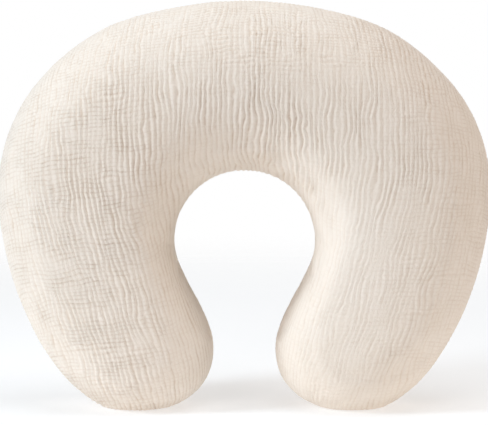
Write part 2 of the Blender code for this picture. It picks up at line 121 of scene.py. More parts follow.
def soft_lookup(grid: np.ndarray, rows: np.ndarray, columns: np.ndarray) -> np.ndarray:
    """Read a coarse grid smoothly, where the columns run round and the rows end.

    Args:
        grid: values, rows by columns.
        rows: row places, whole or not.
        columns: column places, whole or not.

    Returns:
        A smooth mixture of the sixteen values round each place.
    """

    def weights(share: np.ndarray) -> list[np.ndarray]:
        """The four weights of a smooth mixture."""
        rest = 1 - share
        inner = (4 - 6 * share**2 + 3 * share**3) / 6
        outer = (4 - 6 * rest**2 + 3 * rest**3) / 6
        return [rest**3 / 6, inner, outer, share**3 / 6]

    row, column = np.floor(rows).astype(int), np.floor(columns).astype(int)
    row_weights, column_weights = weights(rows - row), weights(columns - column)
    total = np.zeros(np.broadcast(rows, columns).shape)
    for i, row_weight in enumerate(row_weights):
        picked_row = np.clip(row + i - 1, 0, grid.shape[0] - 1)
        for j, column_weight in enumerate(column_weights):
            total += row_weight * column_weight * grid[picked_row, (column + j - 1) % grid.shape[1]]
    return total


# ---------------------------------------------------------------- meshes


def make_mesh(
    name: str, points: np.ndarray, faces: np.ndarray, maps: dict[str, np.ndarray] | None = None
) -> bpy.types.Object:
    """Make a smooth object from numbered points and four-cornered faces.

    Args:
        name: the piece's name.
        points: places of the points, one a row.
        faces: four point numbers a row; a face that names a point twice becomes a triangle.
        maps: for each map, a place for each corner of each face.

    Returns:
        The object, linked to the scene.
    """
    keep = faces != np.roll(faces, -1, axis=1)
    sides = keep.sum(axis=1)
    crossed = (faces[:, 0] == faces[:, 2]) | (faces[:, 1] == faces[:, 3])
    good = (sides >= 3) & ~crossed
    keep = keep[good]
    corners = faces[good][keep]
    used, corners = np.unique(corners, return_inverse=True)
    starts = np.concatenate([[0], np.cumsum(keep.sum(axis=1))[:-1]])
    mesh = bpy.data.meshes.new(name)
    mesh.vertices.add(len(used))
    mesh.vertices.foreach_set("co", points[used].astype(np.float32).ravel())
    mesh.loops.add(len(corners))
    mesh.loops.foreach_set("vertex_index", corners.astype(np.int32))
    mesh.polygons.add(len(starts))
    mesh.polygons.foreach_set("loop_start", starts.astype(np.int32))
    mesh.update(calc_edges=True)
    for map_name, places in (maps or {}).items():
        layer = mesh.uv_layers.new(name=map_name)
        layer.uv.foreach_set("vector", places[good][keep].astype(np.float32).ravel())
    mesh.validate()
    mesh.shade_smooth()
    made = bpy.data.objects.new(name, mesh)
    bpy.context.scene.collection.objects.link(made)
    return made


def faces_between(numbers: np.ndarray) -> np.ndarray:
    """Four point numbers for each face of a grid of point numbers."""
    corners = (numbers[:-1, :-1], numbers[:-1, 1:], numbers[1:, 1:], numbers[1:, :-1])
    return np.stack(corners, axis=-1).reshape(-1, 4)


def grid_faces(rows: int, columns: int, round_columns: bool = False) -> np.ndarray:
    """Faces of a grid of points, as point numbers.

    Args:
        rows: rows of points.
        columns: points in each row.
        round_columns: whether each row closes into a ring.

    Returns:
        Four point numbers for each face.
    """
    numbers = np.arange(rows * columns).reshape(rows, columns)
    if round_columns:
        numbers = np.concatenate([numbers, numbers[:, :1]], axis=1)
    return faces_between(numbers)


def closed_skin_faces(rows: int, columns: int) -> np.ndarray:
    """Faces of a grid of points whose rows are rings and whose first and last rows are one point each."""
    numbers = np.arange(rows * columns).reshape(rows, columns)
    numbers[0], numbers[-1] = numbers[0, 0], numbers[-1, 0]
    return faces_between(np.concatenate([numbers, numbers[:, :1]], axis=1))


def corner_values(grid: np.ndarray) -> np.ndarray:
    """Values at the corners of a grid's faces, in the order of its faces."""
    corners = (grid[:-1, :-1], grid[:-1, 1:], grid[1:, 1:], grid[1:, :-1])
    return np.stack(corners, axis=2).reshape(-1, 4, grid.shape[-1])


def bake_grid(rows: int, columns: int) -> np.ndarray:
    """Places over a square map for a grid of points."""
    margin = 0.005
    shares = [np.linspace(margin, 1 - margin, count) for count in (rows, columns)]
    return np.stack(np.meshgrid(*shares, indexing="ij"), axis=-1)


def sweep(
    name: str, path: np.ndarray, radii: np.ndarray, sides: int, closed: bool = False
) -> bpy.types.Object:
    """Make a round strand along a path.

    Args:
        name: the piece's name.
        path: points along the middle of the strand.
        radii: its radius at each point.
        sides: points round the strand.
        closed: whether the path's end joins its start.

    Returns:
        The strand.
    """
    ways = unit(np.roll(path, -1, axis=0) - np.roll(path, 1, axis=0))
    if not closed:
        ways[0], ways[-1] = unit(path[1] - path[0]), unit(path[-1] - path[-2])
    helper = np.where(np.abs(ways[:, 1:2]) < 0.9, [[0.0, 1.0, 0.0]], [[1.0, 0.0, 0.0]])
    first = unit(np.cross(ways, helper))
    second = np.cross(ways, first)
    angles = np.arange(sides) * TURN / sides
    ring = first[:, None] * np.cos(angles)[None, :, None] + second[:, None] * np.sin(angles)[None, :, None]
    points = path[:, None] + ring * radii[:, None, None]
    faces = grid_faces(len(path), sides, True)
    points = points.reshape(-1, 3)
    if closed:
        last = (len(path) - 1) * sides
        bridge = [[last + i, last + (i + 1) % sides, (i + 1) % sides, i] for i in range(sides)]
        faces = np.concatenate([faces, bridge])
    else:
        ends = len(points) + np.arange(2)
        points = np.concatenate([points, path[[0, -1]]])
        last = (len(path) - 1) * sides
        caps = [[ends[0], (i + 1) % sides, i, ends[0]] for i in range(sides)]
        caps += [[ends[1], last + i, last + (i + 1) % sides, ends[1]] for i in range(sides)]
        faces = np.concatenate([faces, caps])
    return make_mesh(name, points, faces)


# ---------------------------------------------------------------- form


@dataclass(frozen=True)
class Sections:
    """Cross-sections of the body in order, from the left foot over the crown to the right foot."""

    outer: np.ndarray
    inner: np.ndarray
    half_depth: np.ndarray
    along: np.ndarray  # outer length from the middle, negative to the left

    @property
    def across(self) -> np.ndarray:
        """Direction of each section from its outer to its inner end."""
        ways = unit(self.inner - self.outer)
        ways[0], ways[-1] = ways[1], ways[-2]
        return ways

    def neighbours(self, step: int) -> "Sections":
        """The sections a step further on, held at the two feet."""
        place = np.clip(np.arange(len(self.along)) + step, 0, len(self.along) - 1)
        return Sections(self.outer[place], self.inner[place], self.half_depth[place], self.along[place])


@dataclass(frozen=True)
class PillowForm:
    """The smooth outside of the cover."""

    width: float
    height: float
    depth: float
    crown_radius: float = 0.395
    crown_width: float = 0.174
    crown_half_angle: float = 0.3495
    widest_height: float = 0.228
    throat_radius: float = 0.0767
    narrowest_gap: float = 0.0704
    narrowest_height: float = 0.0618
    foot_spacing: float = 0.2438
    foot_squash: float = 0.005
    foot_softness: float = 0.0012
    tip_length: float = 0.078
    shoulder_pulls: tuple[float, float] = (0.122, 0.537)
    flank_pulls: tuple[float, float] = (0.385, 0.262)
    neck_pulls: tuple[float, float] = (0.322, 0.329)
    sole_pulls: tuple[float, float] = (0.485, 0.334)
    strip_near: float = 0.01898  # y of the flat strip's edges, under the zip
    strip_far: float = 0.04502
    strip_half_length: float = 0.138
    strip_fade: float = 0.030

    @property
    def crown_centre_z(self) -> float:
        """Height of the centre of the crown's arc."""
        return self.height - self.crown_radius

    @property
    def throat_centre_z(self) -> float:
        """Height of the centre of the throat's arc."""
        return self.height - self.crown_width - self.throat_radius

    @property
    def foot(self) -> np.ndarray:
        """Lowest point of the right leg before standing presses it flat."""
        return np.array([self.foot_spacing / 2, 0.0, -self.foot_squash])

    def throat_angle(self, crown_angle: np.ndarray) -> np.ndarray:
        """Angle round the throat that lies on the same line to the crown's centre."""
        rise = self.throat_centre_z - self.crown_centre_z
        return crown_angle + np.arcsin(rise * np.sin(crown_angle) / self.throat_radius)

    @staticmethod
    def arc(centre_z: float, radius: float, angles: np.ndarray) -> np.ndarray:
        """Points of an arc, by angle from straight up towards +X."""
        angles = np.asarray(angles, float)
        return np.stack([radius * np.sin(angles), 0 * angles, centre_z + radius * np.cos(angles)], axis=-1)

    @staticmethod
    def curve(
        start: np.ndarray,
        start_way: Sequence[float],
        end: np.ndarray,
        end_way: Sequence[float],
        pulls: Sequence[float],
    ) -> np.ndarray:
        """Points of a smooth curve between two points.

        Args:
            start: first point.
            start_way: direction in which the curve leaves it.
            end: last point.
            end_way: direction in which the curve arrives.
            pulls: how far it keeps each direction, as shares of the distance.

        Returns:
            Points along the curve.
        """
        distance = np.linalg.norm(end - start)
        near = start + unit(np.asarray(start_way, float)) * distance * pulls[0]
        far = end - unit(np.asarray(end_way, float)) * distance * pulls[1]
        share = np.linspace(0, 1, 240)[:, None]
        rest = 1 - share
        return rest**3 * start + 3 * rest**2 * share * near + 3 * rest * share**2 * far + share**3 * end

    def outer_leg(self) -> np.ndarray:
        """Outer edge of the right leg, from the end of the crown to the foot."""
        angle = self.crown_half_angle
        crown_end = self.arc(self.crown_centre_z, self.crown_radius, angle)
        widest = np.array([self.width / 2, 0.0, self.widest_height])
        leaving = (math.cos(angle), 0, -math.sin(angle))
        shoulder = self.curve(crown_end, leaving, widest, (0, 0, -1), self.shoulder_pulls)
        flank = self.curve(widest, (0, 0, -1), self.foot, (-1, 0, 0), self.flank_pulls)
        return np.concatenate([shoulder, flank[1:]])

    def inner_leg(self) -> np.ndarray:
        """Inner edge of the right leg, from the end of the crown to the foot."""
        start = float(self.throat_angle(np.array(self.crown_half_angle)))
        throat = self.arc(self.throat_centre_z, self.throat_radius, np.linspace(start, math.pi / 2, 80))
        narrowest = np.array([self.narrowest_gap / 2, 0.0, self.narrowest_height])
        neck = self.curve(throat[-1], (0, 0, -1), narrowest, (0, 0, -1), self.neck_pulls)
        sole = self.curve(narrowest, (0, 0, -1), self.foot, (1, 0, 0), self.sole_pulls)
        return np.concatenate([throat, neck[1:], sole[1:]])

    @staticmethod
    def walk(line: np.ndarray, shares: np.ndarray) -> tuple[np.ndarray, float]:
        """Points at shares of a line's length, and that length."""
        lengths = np.concatenate([[0.0], np.cumsum(np.linalg.norm(np.diff(line, axis=0), axis=1))])
        places = shares * lengths[-1]
        return np.stack([np.interp(places, lengths, line[:, i]) for i in range(3)], axis=-1), lengths[-1]

    @property
    def crown_length(self) -> float:
        """Outer length of half the crown."""
        return self.crown_radius * self.crown_half_angle

    @property
    def half_length(self) -> float:
        """Outer length from the middle to a foot."""
        return self.crown_length + self.walk(self.outer_leg(), np.array([1.0]))[1]

    def apex(self, y: float) -> float:
        """Outer length from the middle at which the body is only y deep on each side."""
        reach = np.linalg.norm(self.inner_leg()[0] - self.foot)
        to_foot = self.tip_length * math.asin(y / (self.depth / 2)) / (math.pi / 2)
        return self.crown_length + (self.half_length - self.crown_length) * (1 - to_foot / reach)

    def sections(self, along: np.ndarray) -> Sections:
        """Cross-sections at outer lengths from the middle, negative to the left."""
        length = np.abs(along)
        on_crown = length < self.crown_length
        angle = np.minimum(length, self.crown_length) / self.crown_radius
        outer = self.arc(self.crown_centre_z, self.crown_radius, angle)
        inner = self.arc(self.throat_centre_z, self.throat_radius, self.throat_angle(angle))
        share = np.clip((length - self.crown_length) / (self.half_length - self.crown_length), 0, 1)
        leg_outer, leg_inner = self.outer_leg(), self.inner_leg()
        outer = np.where(on_crown[:, None], outer, self.walk(leg_outer, share)[0])
        inner = np.where(on_crown[:, None], inner, self.walk(leg_inner, share)[0])
        to_foot = np.linalg.norm(leg_inner[0] - self.foot) * (1 - share)
        half_depth = self.depth / 2 * np.sin(np.minimum(to_foot / self.tip_length, 1) * math.pi / 2)
        mirror = np.stack([np.where(along < 0, -1.0, 1.0), np.ones(len(along)), np.ones(len(along))], axis=-1)
        return Sections(outer * mirror, inner * mirror, half_depth, along)

    def points(self, sections: Sections, angles: np.ndarray) -> np.ndarray:
        """Points round sections.

        Args:
            sections: the cross-sections.
            angles: a row of angles for each section: 0 is its outer end and a quarter turn its back.

        Returns:
            Points, sections by angles.
        """
        turned = np.mod(angles, TURN)
        folded = np.where(turned <= math.pi, turned, TURN - turned)
        span = sections.inner - sections.outer
        chord = np.linalg.norm(span, axis=1)[:, None]
        radius = np.minimum(chord, self.crown_width) / 2
        run = radius * (1 - np.cos(folded)) + (chord - 2 * radius) * ease((folded / math.pi - 1 / 3) * 3)
        sine = np.sin(angles)
        half = self.depth / 2
        low, high = self.strip_near / half, self.strip_far / half
        share = (sine - low) / (high - low)
        drops = [radius * (1 - math.sqrt(1 - edge * edge)) for edge in (low, high)]
        flat = drops[0] + (drops[1] - drops[0]) * share
        fade = 1 - ease((np.abs(sections.along) - self.strip_half_length) / self.strip_fade)
        inside = (share > 0) & (share < 1) & (folded < math.pi / 2)
        run = np.where(inside, run + (flat - run) * fade[:, None], run)
        points = sections.outer[:, None] + sections.across[:, None] * run[..., None]
        points[..., 1] += sections.half_depth[:, None] * sine
        points[..., 2] = (points[..., 2] + np.sqrt(points[..., 2] ** 2 + self.foot_softness**2)) / 2
        return points

    def normals(self, sections: Sections, angles: np.ndarray) -> np.ndarray:
        """Outward directions at the same places as points()."""
        along = self.points(sections.neighbours(1), angles) - self.points(sections.neighbours(-1), angles)
        round_it = self.points(sections, angles + 0.004) - self.points(sections, angles - 0.004)
        found = unit(np.cross(along, round_it))
        found[0] = found[-1] = (0, 0, -1)
        return found


# ---------------------------------------------------------------- stuffing


@dataclass(frozen=True)
class Stuffing:
    """How the filling swells the skin between its seams, found by simulating the cloth under pressure."""

    form: PillowForm
    seam_y: float
    rows: int = 150
    columns: int = 72
    start_depth: float = 0.003
    pressure: float = 4.0
    frames: int = 20
    cap: float = 0.0016

    def cage_angles(self) -> np.ndarray:
        """Angles round each section of the coarse skin."""
        return np.tile(np.arange(self.columns) * TURN / self.columns, (self.rows, 1))

    def cage(self) -> tuple[Sections, np.ndarray, np.ndarray]:
        """Sections, points and outward directions of the coarse skin."""
        reach = self.form.half_length
        sections = self.form.sections(np.linspace(-reach, reach, self.rows))
        angles = self.cage_angles()
        return sections, self.form.points(sections, angles), self.form.normals(sections, angles)

    def swell(self) -> np.ndarray:
        """How far the simulated skin ends outside its usual place.

        Returns:
            Heights on the coarse skin, sections by angles, held within the cap.
        """
        _, points, normals = self.cage()
        start = points - normals * self.start_depth
        start[..., 2] = np.maximum(start[..., 2], 0.0)
        faces = closed_skin_faces(self.rows, self.columns)
        flat_points = start.reshape(-1, 3)
        cushion = make_mesh("stuffing_trial", flat_points, faces)
        order = np.unique(faces)
        beside_seam = np.abs(points[..., 1] - self.seam_y).ravel()[order] < 0.006
        on_floor = points[..., 2].ravel()[order] < 0.004
        held = np.flatnonzero(beside_seam | on_floor)
        group = cushion.vertex_groups.new(name="held")
        group.add(held.tolist(), 1.0, "REPLACE")
        cloth = cushion.modifiers.new("cloth", "CLOTH")
        cloth.settings.use_pressure = True
        cloth.settings.uniform_pressure_force = self.pressure
        cloth.settings.effector_weights.gravity = 0.0
        cloth.settings.vertex_group_mass = group.name
        cloth.settings.quality = 5
        cloth.settings.tension_stiffness = cloth.settings.compression_stiffness = 12
        cloth.settings.bending_stiffness = 0.4
        cloth.point_cache.frame_start, cloth.point_cache.frame_end = 1, self.frames
        for frame in range(1, self.frames + 1):
            bpy.context.scene.frame_set(frame)
        shaped = cushion.evaluated_get(bpy.context.evaluated_depsgraph_get()).to_mesh()
        found = np.empty(len(shaped.vertices) * 3)
        shaped.vertices.foreach_get("co", found)
        bpy.data.objects.remove(cushion, do_unlink=True)
        bpy.context.scene.frame_set(1)
        ended = flat_points.copy()
        ended[order] = found.reshape(-1, 3)
        ended = ended.reshape(start.shape)
        ended[0], ended[-1] = ended[0, 0], ended[-1, 0]
        rise = ((ended - start) * normals).sum(axis=-1)
        rise[:2], rise[-2:] = np.median(rise[2]), np.median(rise[-3])
        LOG.info("the stuffing swells the skin by %.1f to %.1f mm", rise.min() * 1000, rise.max() * 1000)
        return np.clip(rise - np.median(rise), -self.cap, self.cap)

    def read(self, swell: np.ndarray, sections: Sections, angles: np.ndarray) -> np.ndarray:
        """Swelling at finer places.

        Args:
            swell: what swell() found.
            sections: the finer cross-sections.
            angles: the angles round them.

        Returns:
            Height above the usual skin at each place.
        """
        reach = self.form.half_length
        rows = (sections.along + reach) / (2 * reach) * (self.rows - 1)
        columns = np.mod(angles, TURN) / TURN * self.columns
        return soft_lookup(swell, np.broadcast_to(rows[:, None], angles.shape), columns)


# ---------------------------------------------------------------- crinkle


@dataclass(frozen=True)
class Relief:
    """Height of crinkled cloth, and where its folds run, for a grid of places."""

    height: np.ndarray
    ridges: np.ndarray  # counted across the ridges
    ribs: np.ndarray  # counted along the ridges
    ridge_size: np.ndarray
    rib_size: np.ndarray


@dataclass(frozen=True)
class Crinkle:
    """The puckered surface of double gauze: long wavy ridges, crossed by lower ribs."""

    ridge_spacing: float = 0.0054
    rib_spacing: float = 0.0044
    ridge_height: float = 0.00150
    rib_height: float = 0.00140
    unevenness: float = 0.0005
    lean: float = 0.30
    lean_below: float = 0.27
    rib_slope: float = 0.10

    def relief(self, cloth: np.ndarray, points: np.ndarray) -> Relief:
        """Crinkles over a panel.

        Args:
            cloth: places in the flat cloth.
            points: places on the pillow.

        Returns:
            The relief at those places.
        """
        x, z = cloth[..., 0], cloth[..., 1]
        side = np.tanh(points[..., 0] / 0.02)
        below = np.maximum(self.lean_below - points[..., 2], 0)
        leaning = x + side * self.lean * below**2 / (below + 0.08)
        sway = Noise(11).at(leaning / 0.021, z / 0.034) * 0.0030
        sway += Noise(12).at(leaning / 0.0085, z / 0.013) * 0.0011
        sway += Noise(13).at(leaning / 0.004, z / 0.006) * 0.00060
        ridges = (leaning + sway) / self.ridge_spacing
        drift = Noise(21).at(x / 0.028, z / 0.020) * 0.0026 + Noise(22).at(x / 0.009, z / 0.0085) * 0.0009
        ribs = (z + drift - self.rib_slope * x * (x < 0)) / self.rib_spacing
        ridge_form = np.sqrt(np.sin(math.pi * ridges) ** 2 + 0.05)
        rib_form = np.sqrt(np.sin(math.pi * ribs) ** 2 + 0.08)
        ridge_size = 0.75 + 0.40 * Noise(31).at(leaning / 0.0065, z / 0.026)
        ridge_size += 0.2 * Noise(32).at(x / 0.05, z / 0.05)
        ridge_size = self.ridge_share(points) * np.maximum(ridge_size, 0.2)
        rib_size = self.rib_share(points) * np.maximum(0.75 + 0.5 * Noise(33).at(x / 0.014, z / 0.008), 0.1)
        level = 0.65  # of the folds' middle height
        height = self.ridge_height * ridge_size * (ridge_form - level)
        height += self.rib_height * rib_size * (rib_form - level)
        broad = 0.6 * Noise(41).at(x / 0.045, z / 0.06) + 0.4 * Noise(42).at(x / 0.018, z / 0.03)
        height += self.unevenness * broad
        return Relief(height, ridges, ribs, ridge_size, rib_size)

    @staticmethod
    def ridge_share(points: np.ndarray) -> np.ndarray:
        """How strong the ridges are: lowest down the inside of the right leg."""
        calm = ease(points[..., 0] / 0.06) * ease((0.28 - points[..., 2]) / 0.10)
        return 1 - 0.35 * calm

    @staticmethod
    def rib_share(points: np.ndarray) -> np.ndarray:
        """How strong the ribs are: highest on the left leg and along the crown's top."""
        left = ease((-0.05 - points[..., 0]) / 0.10)
        top = ease((points[..., 2] - 0.33) / 0.07)
        right = 0.5 * ease((points[..., 0] - 0.10) / 0.12)
        return 0.25 + 0.75 * np.maximum(np.maximum(left, top), right)


# ---------------------------------------------------------------- panels


@dataclass(frozen=True)
class Opening:
    """The slot in the cover for the zip."""

    half_length: float = 0.1225
    half_width: float = 0.0050
    end_length: float = 0.006
    fold_depth: float = 0.0012

    def share(self, along: np.ndarray) -> np.ndarray:
        """How open the slot is along the crown, from 0 to 1."""
        return 1 - ease((np.abs(along) - self.half_length) / self.end_length)


@dataclass(frozen=True)
class PanelCut:
    """Where and how a panel of a layer ends at its seam."""

    form: PillowForm
    side: Side
    seam_y: float
    half_gap: float = 0.0002
    depth: float = 0.0  # of the layer below the outside of the cover
    spacing: float = 0.0016
    round_spacing: float = 0.0016
    roll: float = 0.0032
    groove: float = 0.0016
    hem_depths: tuple[float, ...] = (0.0022, 0.0032)
    opening: Opening | None = None

    def stations(self) -> np.ndarray:
        """Outer lengths of the cross-sections, closer together where the seam turns round."""
        reach = self.form.half_length
        right = np.linspace(0, reach, int(reach / self.spacing) + 1)
        if self.seam_y > 0:
            turn = self.form.apex(self.seam_y + self.half_gap * self.side.value)
            span = 6 * self.spacing
            steps = turn - span * (np.arange(9) / 8) ** 2
            right = right[(right < turn - span * 1.05) | (right > turn + self.spacing * 0.4)]
            right = np.sort(np.concatenate([right, steps]))
        return np.concatenate([-right[:0:-1], right])

    def openness(self, sections: Sections) -> np.ndarray:
        """How open the zip's slot is at each section."""
        if self.opening is None:
            return np.zeros(len(sections.along))
        return self.opening.share(sections.along)

    def edge_y(self, sections: Sections) -> tuple[np.ndarray, np.ndarray]:
        """Places of the panel's outer and inner edges behind the middle of the body."""
        plain = np.full(len(sections.along), self.seam_y + self.half_gap * self.side.value)
        width = self.opening.half_width * 0.94 if self.opening else 0.0
        return plain + self.side.value * width * self.openness(sections), plain

    def round_count(self) -> int:
        """Points round the middle of the panel's longest section."""
        start = abs(math.asin(self.seam_y / (self.form.depth / 2)))
        turn = math.pi + 2 * start * (1 if self.side is Side.FRONT else -1)
        return int(turn * (self.form.crown_width + self.form.depth) / 4 * 1.22 / self.round_spacing)

    def angles(self, sections: Sections) -> np.ndarray:
        """Angles round each section, at even lengths from edge to edge but closer at the edges."""
        outer_y, inner_y = self.edge_y(sections)
        half = np.maximum(sections.half_depth, 1e-6)
        outer = np.arcsin(np.clip(outer_y / half, -1, 1))
        inner = math.pi - np.arcsin(np.clip(inner_y / half, -1, 1))
        first, last = (inner, outer + TURN) if self.side is Side.FRONT else (outer, inner)
        dense = np.linspace(0, 1, 300)
        trial = self.form.points(sections, first[:, None] + (last - first)[:, None] * dense[None])
        walked = np.cumsum(np.linalg.norm(np.diff(trial, axis=1), axis=2), axis=1)
        walked = np.concatenate([np.zeros((len(walked), 1)), walked], axis=1)
        near = np.array([0.0, 0.25, 0.55, 0.95, 1.5]) * self.roll / 1.5
        count = self.round_count()
        rows = []
        for lengths in walked:
            whole = max(lengths[-1], 1e-9)
            edge = near / whole * min(1.0, whole / (near[-1] * 6))
            even = np.linspace(edge[-1], 1 - edge[-1], count)
            shares = np.concatenate([edge[:-1], even, 1 - edge[:-1][::-1]])
            rows.append(np.interp(shares, lengths / whole, dense) if lengths[-1] > 1e-6 else shares)
        return first[:, None] + (last - first)[:, None] * np.array(rows)

    def edge_distance(self, sections: Sections, points: np.ndarray, normals: np.ndarray) -> np.ndarray:
        """How far each place is from the panel's nearest edge, along the skin."""
        outer_y, inner_y = self.edge_y(sections)
        middle = (sections.outer + sections.inner)[:, None] / 2
        outside = ((points - middle) * sections.across[:, None]).sum(axis=-1) < 0
        edge = np.where(outside, outer_y[:, None], inner_y[:, None])
        return np.abs(points[..., 1] - edge) / np.sqrt(np.maximum(1 - normals[..., 1] ** 2, 0.1))

    def cloth_places(self, sections: Sections, angles: np.ndarray, points: np.ndarray) -> np.ndarray:
        """Where each place lies in the flat cloth before it was sewn and filled.

        Args:
            sections: the cross-sections.
            angles: the angles round them.
            points: the places.

        Returns:
            Two coordinates for each place.
        """
        steps = np.linalg.norm(np.diff(points, axis=1), axis=2)
        walked = np.concatenate([np.zeros((len(points), 1)), np.cumsum(steps, axis=1)], axis=1)
        middle_angle = 1.5 * math.pi if self.side is Side.FRONT else 0.5 * math.pi
        centre = np.array([np.interp(middle_angle, a, w) for a, w in zip(angles, walked)])
        inwards = (walked - centre[:, None]) * self.side.value
        middle = (sections.outer + sections.inner) / 2
        places = middle[:, None] + sections.across[:, None] * inwards[..., None]
        return places[..., [0, 2]]


@dataclass(frozen=True)
class Panel:
    """One sewn panel: a skin with its edges rolled into the seam and turned under."""

    cut: PanelCut
    stuffing: Stuffing
    swell: np.ndarray
    crinkle: Crinkle | None = None
    pucker: float = 0.0006
    pucker_length: float = 0.011
    pucker_reach: float = 0.010

    def build(self, name: str) -> bpy.types.Object:
        """Make the panel.

        Args:
            name: the piece's name.

        Returns:
            The panel as an object with its maps.
        """
        cut = self.cut
        sections = cut.form.sections(cut.stations())
        angles = cut.angles(sections)
        points = cut.form.points(sections, angles)
        normals = cut.form.normals(sections, angles)
        cloth = cut.cloth_places(sections, angles, points)
        distance = cut.edge_distance(sections, points, normals)
        openness = cut.openness(sections)[:, None] * (points[..., 1] > 0) * (points[..., 2] > 0.3)
        shown = points.copy()
        height = self.stuffing.read(self.swell, sections, angles) - cut.depth
        calm = 1 - 0.75 * openness * ease((0.014 - distance) / 0.006)
        folds = np.stack([cloth[..., 0] / 0.0054, cloth[..., 1] / 0.0044] * 2, axis=-1)
        if self.crinkle:
            relief = self.crinkle.relief(cloth, points)
            height += relief.height * calm * (0.35 + 0.65 * ease(distance / 0.004))
            sizes = (relief.ridge_size * calm, relief.rib_size * calm)
            folds = np.stack([relief.ridges, relief.ribs, *sizes], axis=-1)
        along = sections.along[:, None] / self.pucker_length
        wave = Noise(51 + cut.side.value).at(along + 0 * distance, distance / 0.02)
        height += self.pucker * wave * np.exp(-distance / self.pucker_reach) * (1 - openness)
        roll = np.clip(1 - distance / cut.roll, 0, 1)
        groove = cut.groove + (0.0 if cut.opening is None else cut.opening.fold_depth - cut.groove) * openness
        height -= groove * (1 - np.sqrt(np.maximum(1 - roll**2, 0)))
        shown += normals * height[..., None]
        hemmed = self.with_hems(sections, shown, points, normals, openness, cloth, folds)
        hemmed[0][..., 2] = np.maximum(hemmed[0][..., 2], 0.00005)
        return self.object(name, sections, *hemmed)

    def with_hems(
        self,
        sections: Sections,
        shown: np.ndarray,
        points: np.ndarray,
        normals: np.ndarray,
        openness: np.ndarray,
        cloth: np.ndarray,
        folds: np.ndarray,
    ) -> tuple[np.ndarray, np.ndarray, np.ndarray]:
        """Add the edges that are turned under.

        Args:
            sections: the cross-sections.
            shown: the finished points.
            points: the points of the plain skin.
            normals: its outward directions.
            openness: how open the zip's slot is at each place.
            cloth: places in the flat cloth.
            folds: counts of ridges and ribs.

        Returns:
            The points, places and counts with the turned edges added.
        """
        cut = self.cut
        sewn = (np.abs(cut.edge_y(sections)[1]) < sections.half_depth - 0.0004)[:, None]
        first, last = [], []
        for step, depth in enumerate(cut.hem_depths):
            for end, rows in ((0, first), (-1, last)):
                shallow = 0.00125 + 0.00012 * (step + 1)
                down = depth + (shallow - depth) * openness[:, end : end + 1 or None][:, :1]
                moved = points[:, end] - normals[:, end] * (down + cut.depth)
                rows.append(np.where(sewn, moved, shown[:, end])[:, None])
        count = len(cut.hem_depths)
        shown = np.concatenate([*reversed(first), shown, *last], axis=1)
        width = ((0, 0), (count, count), (0, 0))
        return shown, np.pad(cloth, width, mode="edge"), np.pad(folds, width, mode="edge")

    def object(
        self, name: str, sections: Sections, shown: np.ndarray, cloth: np.ndarray, folds: np.ndarray
    ) -> bpy.types.Object:
        """Turn a grid of points into the panel, closed at the feet and below the seam's ends."""
        cut = self.cut
        rows, columns = shown.shape[:2]
        numbers = np.arange(rows * columns).reshape(rows, columns)
        edge = cut.seam_y + cut.half_gap * cut.side.value
        gone = sections.half_depth <= max(edge, 0) + 1e-9
        if cut.side is Side.FRONT:
            numbers[gone, -1] = numbers[gone, 0]
            count = len(cut.hem_depths)
            for place in range(count):
                numbers[gone, place] = numbers[gone, 0]
                numbers[gone, count] = numbers[gone, 0]
                numbers[gone, -1 - place] = numbers[gone, 0]
            numbers[gone, -1 - count] = numbers[gone, 0]
        elif cut.seam_y > 0:
            numbers[gone] = numbers[gone][:, :1]
        numbers[0], numbers[-1] = numbers[0, 0], numbers[-1, 0]
        faces = faces_between(numbers)
        if cut.seam_y > 0 and cut.side is Side.BACK:
            lost = (gone[:-1] & gone[1:])[:, None] & np.ones((1, columns - 1), bool)
            faces[lost.ravel()] = 0
        maps = {
            "OFBake": corner_values(bake_grid(rows, columns)),
            "cloth": corner_values(cloth),
            "folds": corner_values(folds[..., :2]),
            "fold_sizes": corner_values(folds[..., 2:]),
        }
        return make_mesh(name, shown.reshape(-1, 3), faces, maps)


# ---------------------------------------------------------------- node work


